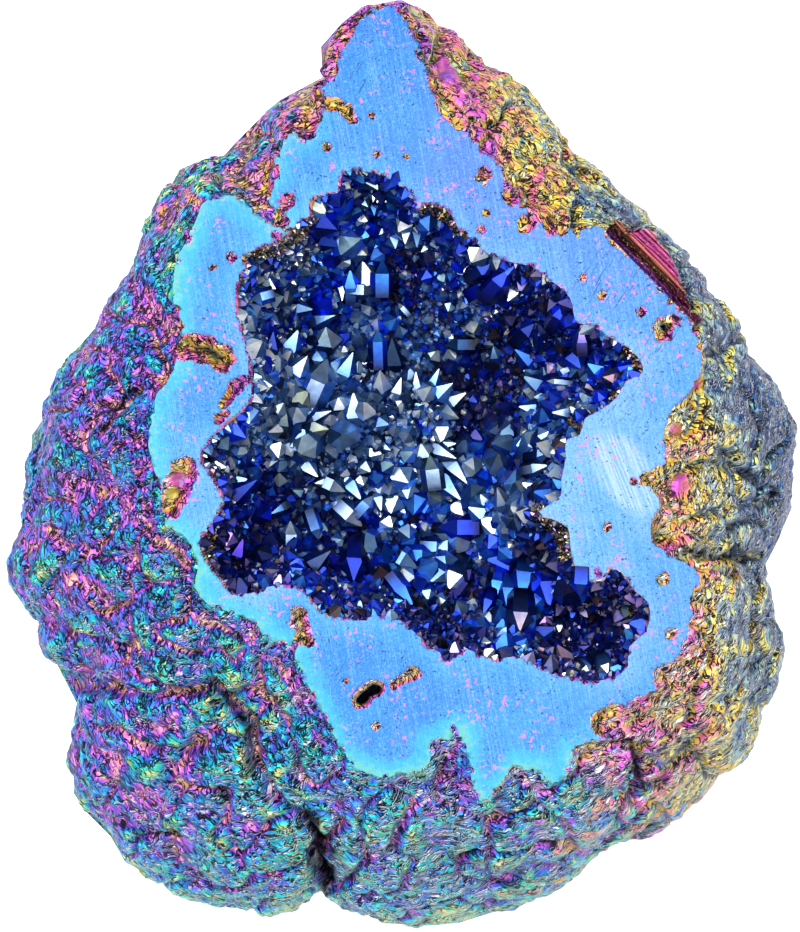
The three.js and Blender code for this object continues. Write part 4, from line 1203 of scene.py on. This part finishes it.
def large_points(rng):
    """The points that are placed one by one."""
    made = PointMesh()
    for tip_x, tip_y, root_x, root_y, width, lie, tone in POINTS:
        tip, root = np.array([tip_x, tip_y]), np.array([root_x, root_y])
        reach = np.linalg.norm(tip - root)
        way = (tip - root) / max(reach, 1e-6)
        colour = srgb(*LIT_TONES[tone])[:3]
        line = root + np.linspace(0, 1, 4)[:, None] * (tip - root)
        top = hollow_height(line).max() + 0.7 + 0.25 * max(reach, width)
        top = min(top, FACE_Z - 0.4)
        if lie == "star":
            size, end_tilt, lean = width / 2.1, 50, math.radians(rng.uniform(4, 14))
        elif lie == "bar":
            size, end_tilt, lean = width / 1.25, 52, math.radians(84)
        else:
            size = width * (0.80 if lie == "facet" else 0.55)
            end_tilt = math.degrees(math.acos(min(max(size / max(reach, 0.1), 0.37), 0.75)))
            lean = math.radians(end_tilt - rng.uniform(2, 7))
            if lie == "ridge":
                lean *= 0.92
        axis = np.array([way[0] * math.sin(lean), way[1] * math.sin(lean), math.cos(lean)])
        turn = {"facet": 180, "ridge": 210, "bar": 180, "star": rng.uniform(0, 60)}[lie]
        turn = math.radians(turn)
        flat = np.array([way[0], way[1], 0.0])
        spin = flat * math.cos(turn) + np.cross((0, 0, 1), flat) * math.sin(turn)
        length = 4.5 if lie == "star" else (reach / size + 1.2 if lie == "bar" else 4.0)
        shape = point_shape(rng, end_tilt, length, 0.10)
        made.add(shape, np.array([tip_x, tip_y, top]), axis, size, spin, colour, rng.uniform(0.6, 1.4), rng)
    return made


def zones_at(plan):
    """Half width, share of pale facets, blueness and warmth of the points at plan places."""
    zones = np.array(ZONES)
    away = ((plan[:, None, 0] - zones[:, 0]) ** 2 + (plan[:, None, 1] - zones[:, 1]) ** 2)
    weight = np.exp(-away / (0.9 * zones[:, 2] ** 2)) + 1e-9
    return (weight @ zones[:, 3:]) / weight.sum(axis=1)[:, None]


MIDDLE_TRIES = 6000           # places tried for the middle points and for the small ones
SMALL_TRIES = 10000
SPACING = 0.62                # how near neighbouring points stand, as a share of their half widths
SMALL_WIDTHS = (0.20, 0.40)   # half widths of the small points, and of those in the crust
CRUST_WIDTHS = (0.14, 0.30)
SHAPE_COUNT = 40              # shapes that the points between the large ones share
MOUND_TOP = (-3.0, 2.0)       # points lean away from here

# Tones of the points between the large ones, the cool ones from dark to light.
COOL_TONES = ["navy", "deep", "ultra", "mid", "azure"]
PALE_TONES = ["white", "pale", "steel", "ivory", "white", "white"]
BLUSH_TONES = ["cream", "pink", "lilac"]
WARM_COLOURS = [(76, 66, 118), (104, 94, 142), (136, 122, 156), (52, 48, 122), (74, 54, 58)]
CRUST_COLOURS = [(150, 112, 52), (226, 196, 128), (246, 234, 190), (236, 168, 178), (84, 60, 30)]


def fill_colour(rng, pale, blue, warm, crusted):
    if crusted:
        return srgb(*CRUST_COLOURS[rng.randint(len(CRUST_COLOURS))])[:3]
    if rng.uniform() < warm * 0.85:
        if rng.uniform() < 0.16:
            return srgb(*LIT_TONES[rng.choice(BLUSH_TONES)])[:3]
        return srgb(*WARM_COLOURS[rng.randint(len(WARM_COLOURS))])[:3]
    if rng.uniform() < pale:
        return srgb(*LIT_TONES[PALE_TONES[rng.randint(len(PALE_TONES))]])[:3]
    level = blue + rng.normal() * 0.22
    tone = COOL_TONES[int(min(max(level * 4.5, 0), 4))]
    return srgb(*LIT_TONES[tone])[:3]


def surface_samples(mesh, count, rng):
    """Places spread evenly over the bare wall of the hollow, with the way the wall faces there."""
    places, triangles = mesh_arrays(mesh)
    corners = places[triangles]
    middle = corners.mean(axis=1)
    lining = (depth_inside(middle[:, :2], MOUTH_EDGE) > -0.05) & (middle[:, 2] < FACE_Z - 0.45)
    chosen = np.nonzero(lining & (middle[:, 2] > HOLLOW_LOWEST))[0]
    sides = np.cross(corners[:, 1] - corners[:, 0], corners[:, 2] - corners[:, 0])[chosen]
    area = np.linalg.norm(sides, axis=1)
    pick = chosen[rng.choice(len(chosen), size=count, p=area / area.sum())]
    share = rng.dirichlet((1, 1, 1), count)[..., None]
    facing = vertex_normals(places, triangles)[triangles[pick]]
    return (corners[pick] * share).sum(axis=1), (facing * share).sum(axis=1)


def crust_at(plan):
    crust = np.zeros(len(plan))
    for path, half_width in CRUSTS:
        crust = np.maximum(crust, np.exp(-(path_distance(plan, path) / half_width) ** 2))
    return crust


def unit(vectors):
    return vectors / np.linalg.norm(vectors, axis=1)[:, None]


def fill_sizes(rng, half, crusted, small):
    """Half widths: those of each zone, unless the points are small or in the crust."""
    size = half * np.exp(rng.normal(size=len(half)) * 0.30)
    if small:
        size = rng.uniform(*SMALL_WIDTHS, len(half)) * np.clip(half / 0.5, 0.8, 1.2)
    return np.where(crusted, rng.uniform(*CRUST_WIDTHS, len(half)), size)


def fill_axes(rng, spots, facing):
    """The ways that points grow: out of the wall, away from the mound's top and never level."""
    turn = rng.uniform(0, 2 * math.pi, len(spots))
    lean = np.radians(rng.uniform(8, 60, len(spots)))
    axis = np.column_stack([np.sin(lean) * np.cos(turn), np.sin(lean) * np.sin(turn), np.cos(lean)]) + facing
    from_top = spots[:, :2] - MOUND_TOP
    reach = np.linalg.norm(from_top, axis=1)[:, None]
    axis[:, :2] += from_top / 8 * np.exp(-(reach / 9) ** 2)
    axis = unit(axis)
    axis[:, 2] = np.maximum(axis[:, 2], 0.25)
    return unit(axis)


def fill_spins(rng, axis):
    """Most points turn one end facet up, and the others lie any way round."""
    count = len(axis)
    swing = np.where(rng.uniform(size=count) < 0.65, np.radians(rng.normal(size=count) * 13),
                     rng.uniform(0, math.pi / 3, count))
    back_x, back_y = -axis[:, 0], -axis[:, 1]
    return np.column_stack([back_x * np.cos(swing) - back_y * np.sin(swing),
                            back_x * np.sin(swing) + back_y * np.cos(swing), np.full(count, 0.05)])


def has_no_room(spots, tips, size, crusted, small):
    """True where a point would reach past the mouth or stand in a large one."""
    blocked = depth_inside(tips[:, :2], MOUTH_EDGE) < np.where(crusted, -0.3, 0.95 * size)
    for tip_x, tip_y, root_x, root_y, broad, _, _ in POINTS:
        away = path_distance(spots[:, :2], [(tip_x, tip_y), (root_x, root_y)])
        blocked |= away < broad * (0.30 if small else 0.42)
    return blocked


def filling_points(mesh, rng, tries, small):
    """Points that fill the hollow between the large ones, the widest first."""
    spots, facing = surface_samples(mesh, tries, rng)
    half, pale, blue, warm = zones_at(spots[:, :2]).T
    crusted = crust_at(spots[:, :2]) > CRUSTED
    size = fill_sizes(rng, half, crusted, small)
    axis = fill_axes(rng, spots, facing)
    spin = fill_spins(rng, axis)
    tips = spots + axis * (size * rng.uniform(1.0, 2.1, tries))[:, None]
    tips[:, 2] = np.minimum(tips[:, 2], FACE_Z - 0.15)
    blocked = has_no_room(spots, tips, size, crusted, small)
    shapes = [point_shape(rng, rng.uniform(44, 60), 4.0, 0.16) for _ in range(SHAPE_COUNT)]
    taken = np.zeros((tries, 3))
    width = np.zeros(tries)
    count = 0
    made = PointMesh()
    for k in np.argsort(-size):
        if blocked[k]:
            continue
        away = taken[:count] - spots[k]
        if (np.einsum("ij,ij->i", away, away) < (SPACING * (width[:count] + size[k])) ** 2).any():
            continue
        taken[count], width[count] = spots[k], size[k]
        count += 1
        colour = fill_colour(rng, pale[k], blue[k], warm[k], crusted[k])
        made.add(shapes[rng.randint(len(shapes))], tips[k], axis[k], size[k], spin[k], colour,
                 rng.uniform(0.3, 1.3) * (0.6 + blue[k]), rng)
    return made


def crystal_material():
    """Each facet has its colour with painted light and shade, a little cloudy, and painted shade darkens it
    towards the root.
    """
    s = Shader("coated_quartz")
    place = s.millimetres()
    cloud = s.span(s.noise(place, 0.9), 0.25, 0.7, 0.62, 1.12)
    # Painted shade that darkens each point towards its root.
    root = s.ramp(s.attribute("rise"), [(0.05, (0.02, 0.04, 0.12, 1)), (0.45, (0.38, 0.56, 0.92, 1)),
                                        (0.85, WHITE)])
    colour = s.tinted(s.tinted(s.attribute("tint", "Color"), cloud), root)
    ripple = s.bump(s.noise(place, 0.35, detail=1.0), 0.15, 0.00003)
    return s.surface({"Base Color": colour, "Roughness": 0.2, "Metallic": 0.6, "Normal": ripple})


def add_points(made, name, material):
    mesh = made.build(name)
    mesh.materials.append(material)
    points = bpy.data.objects.new(name, mesh)
    bpy.context.scene.collection.objects.link(points)
    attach(points, "root")


# ---------------------------------------------------------------- camera, floor and lights

PHOTO_HEIGHT = 93.2           # what the picture's 932 pixels take in at the ground face
PHOTO_SHIFT = -0.05           # the middle of the picture lies this far along y from the origin
LENS = 900.0
SENSOR = 36.0
CLIP_END = 100                # metres, like the floor and the lights below
FLOOR_SIZE = 60
SKY = (0.8, 0.86, 1.0, 1)
SKY_STRENGTH = 0.35

# Square lights that face the stone: name, azimuth and elevation in degrees, distance, size, strength.
SOFTBOXES = [
    ("top_box", 0, 88, 3.2, (1.6, 1.6), 4.0), ("left_box", -50, 50, 1.5, (0.9, 1.2), 4.5),
    ("right_box", 80, 35, 1.6, (0.5, 1.2), 2.0), ("front_box", 170, 40, 1.6, (0.8, 0.6), 1.5),
]


def add_camera():
    data = bpy.data.cameras.new("camera")
    data.lens = LENS
    data.sensor_width = SENSOR
    data.clip_end = CLIP_END
    camera = bpy.data.objects.new("camera", data)
    bpy.context.scene.collection.objects.link(camera)
    camera.location = Vector((0, PHOTO_SHIFT, FACE_Z + PHOTO_HEIGHT / SENSOR * LENS)) * MM
    bpy.context.scene.camera = camera


def add_softbox(name, azimuth, elevation, distance, size, strength):
    data = bpy.data.lights.new(name, "AREA")
    data.shape = "RECTANGLE"
    data.size, data.size_y = size
    data.energy = strength * math.pi * size[0] * size[1]
    box = bpy.data.objects.new(name, data)
    bpy.context.scene.collection.objects.link(box)
    turn, rise = math.radians(azimuth), math.radians(elevation)
    way = Vector((math.sin(turn) * math.cos(rise), math.cos(turn) * math.cos(rise), math.sin(rise)))
    box.location = way * distance
    box.rotation_euler = way.to_track_quat("Z", "Y").to_euler()
    box.visible_camera = False


def add_surroundings():
    bpy.ops.mesh.primitive_plane_add(size=FLOOR_SIZE)
    floor = bpy.context.active_object
    floor.name = "floor"
    floor.data.materials.append(floor_material())
    world = bpy.data.worlds.new("studio")
    world.use_nodes = True
    background = world.node_tree.nodes["Background"]
    background.inputs["Color"].default_value = SKY
    background.inputs["Strength"].default_value = SKY_STRENGTH
    bpy.context.scene.world = world
    for softbox in SOFTBOXES:
        add_softbox(*softbox)
    view = bpy.context.scene.view_settings
    view.view_transform = "Standard"
    view.look = "None"


# ---------------------------------------------------------------- making it all

add_camera()
add_surroundings()

stone_mesh = build_stone(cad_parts[NODE])
finish_stone(stone_mesh)
stone_mesh.materials.clear()
stone_mesh.materials.append(stone_material())
stone = bpy.data.objects.new("coated_stone", stone_mesh)
bpy.context.scene.collection.objects.link(stone)
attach(stone, "root")
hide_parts(NODE)

quartz = crystal_material()
add_points(large_points(np.random.RandomState(5)), "large_points", quartz)
middle_points = filling_points(stone_mesh, np.random.RandomState(6), MIDDLE_TRIES, small=False)
add_points(middle_points, "middle_points", quartz)
small_points = filling_points(stone_mesh, np.random.RandomState(7), SMALL_TRIES, small=True)
add_points(small_points, "small_points", quartz)
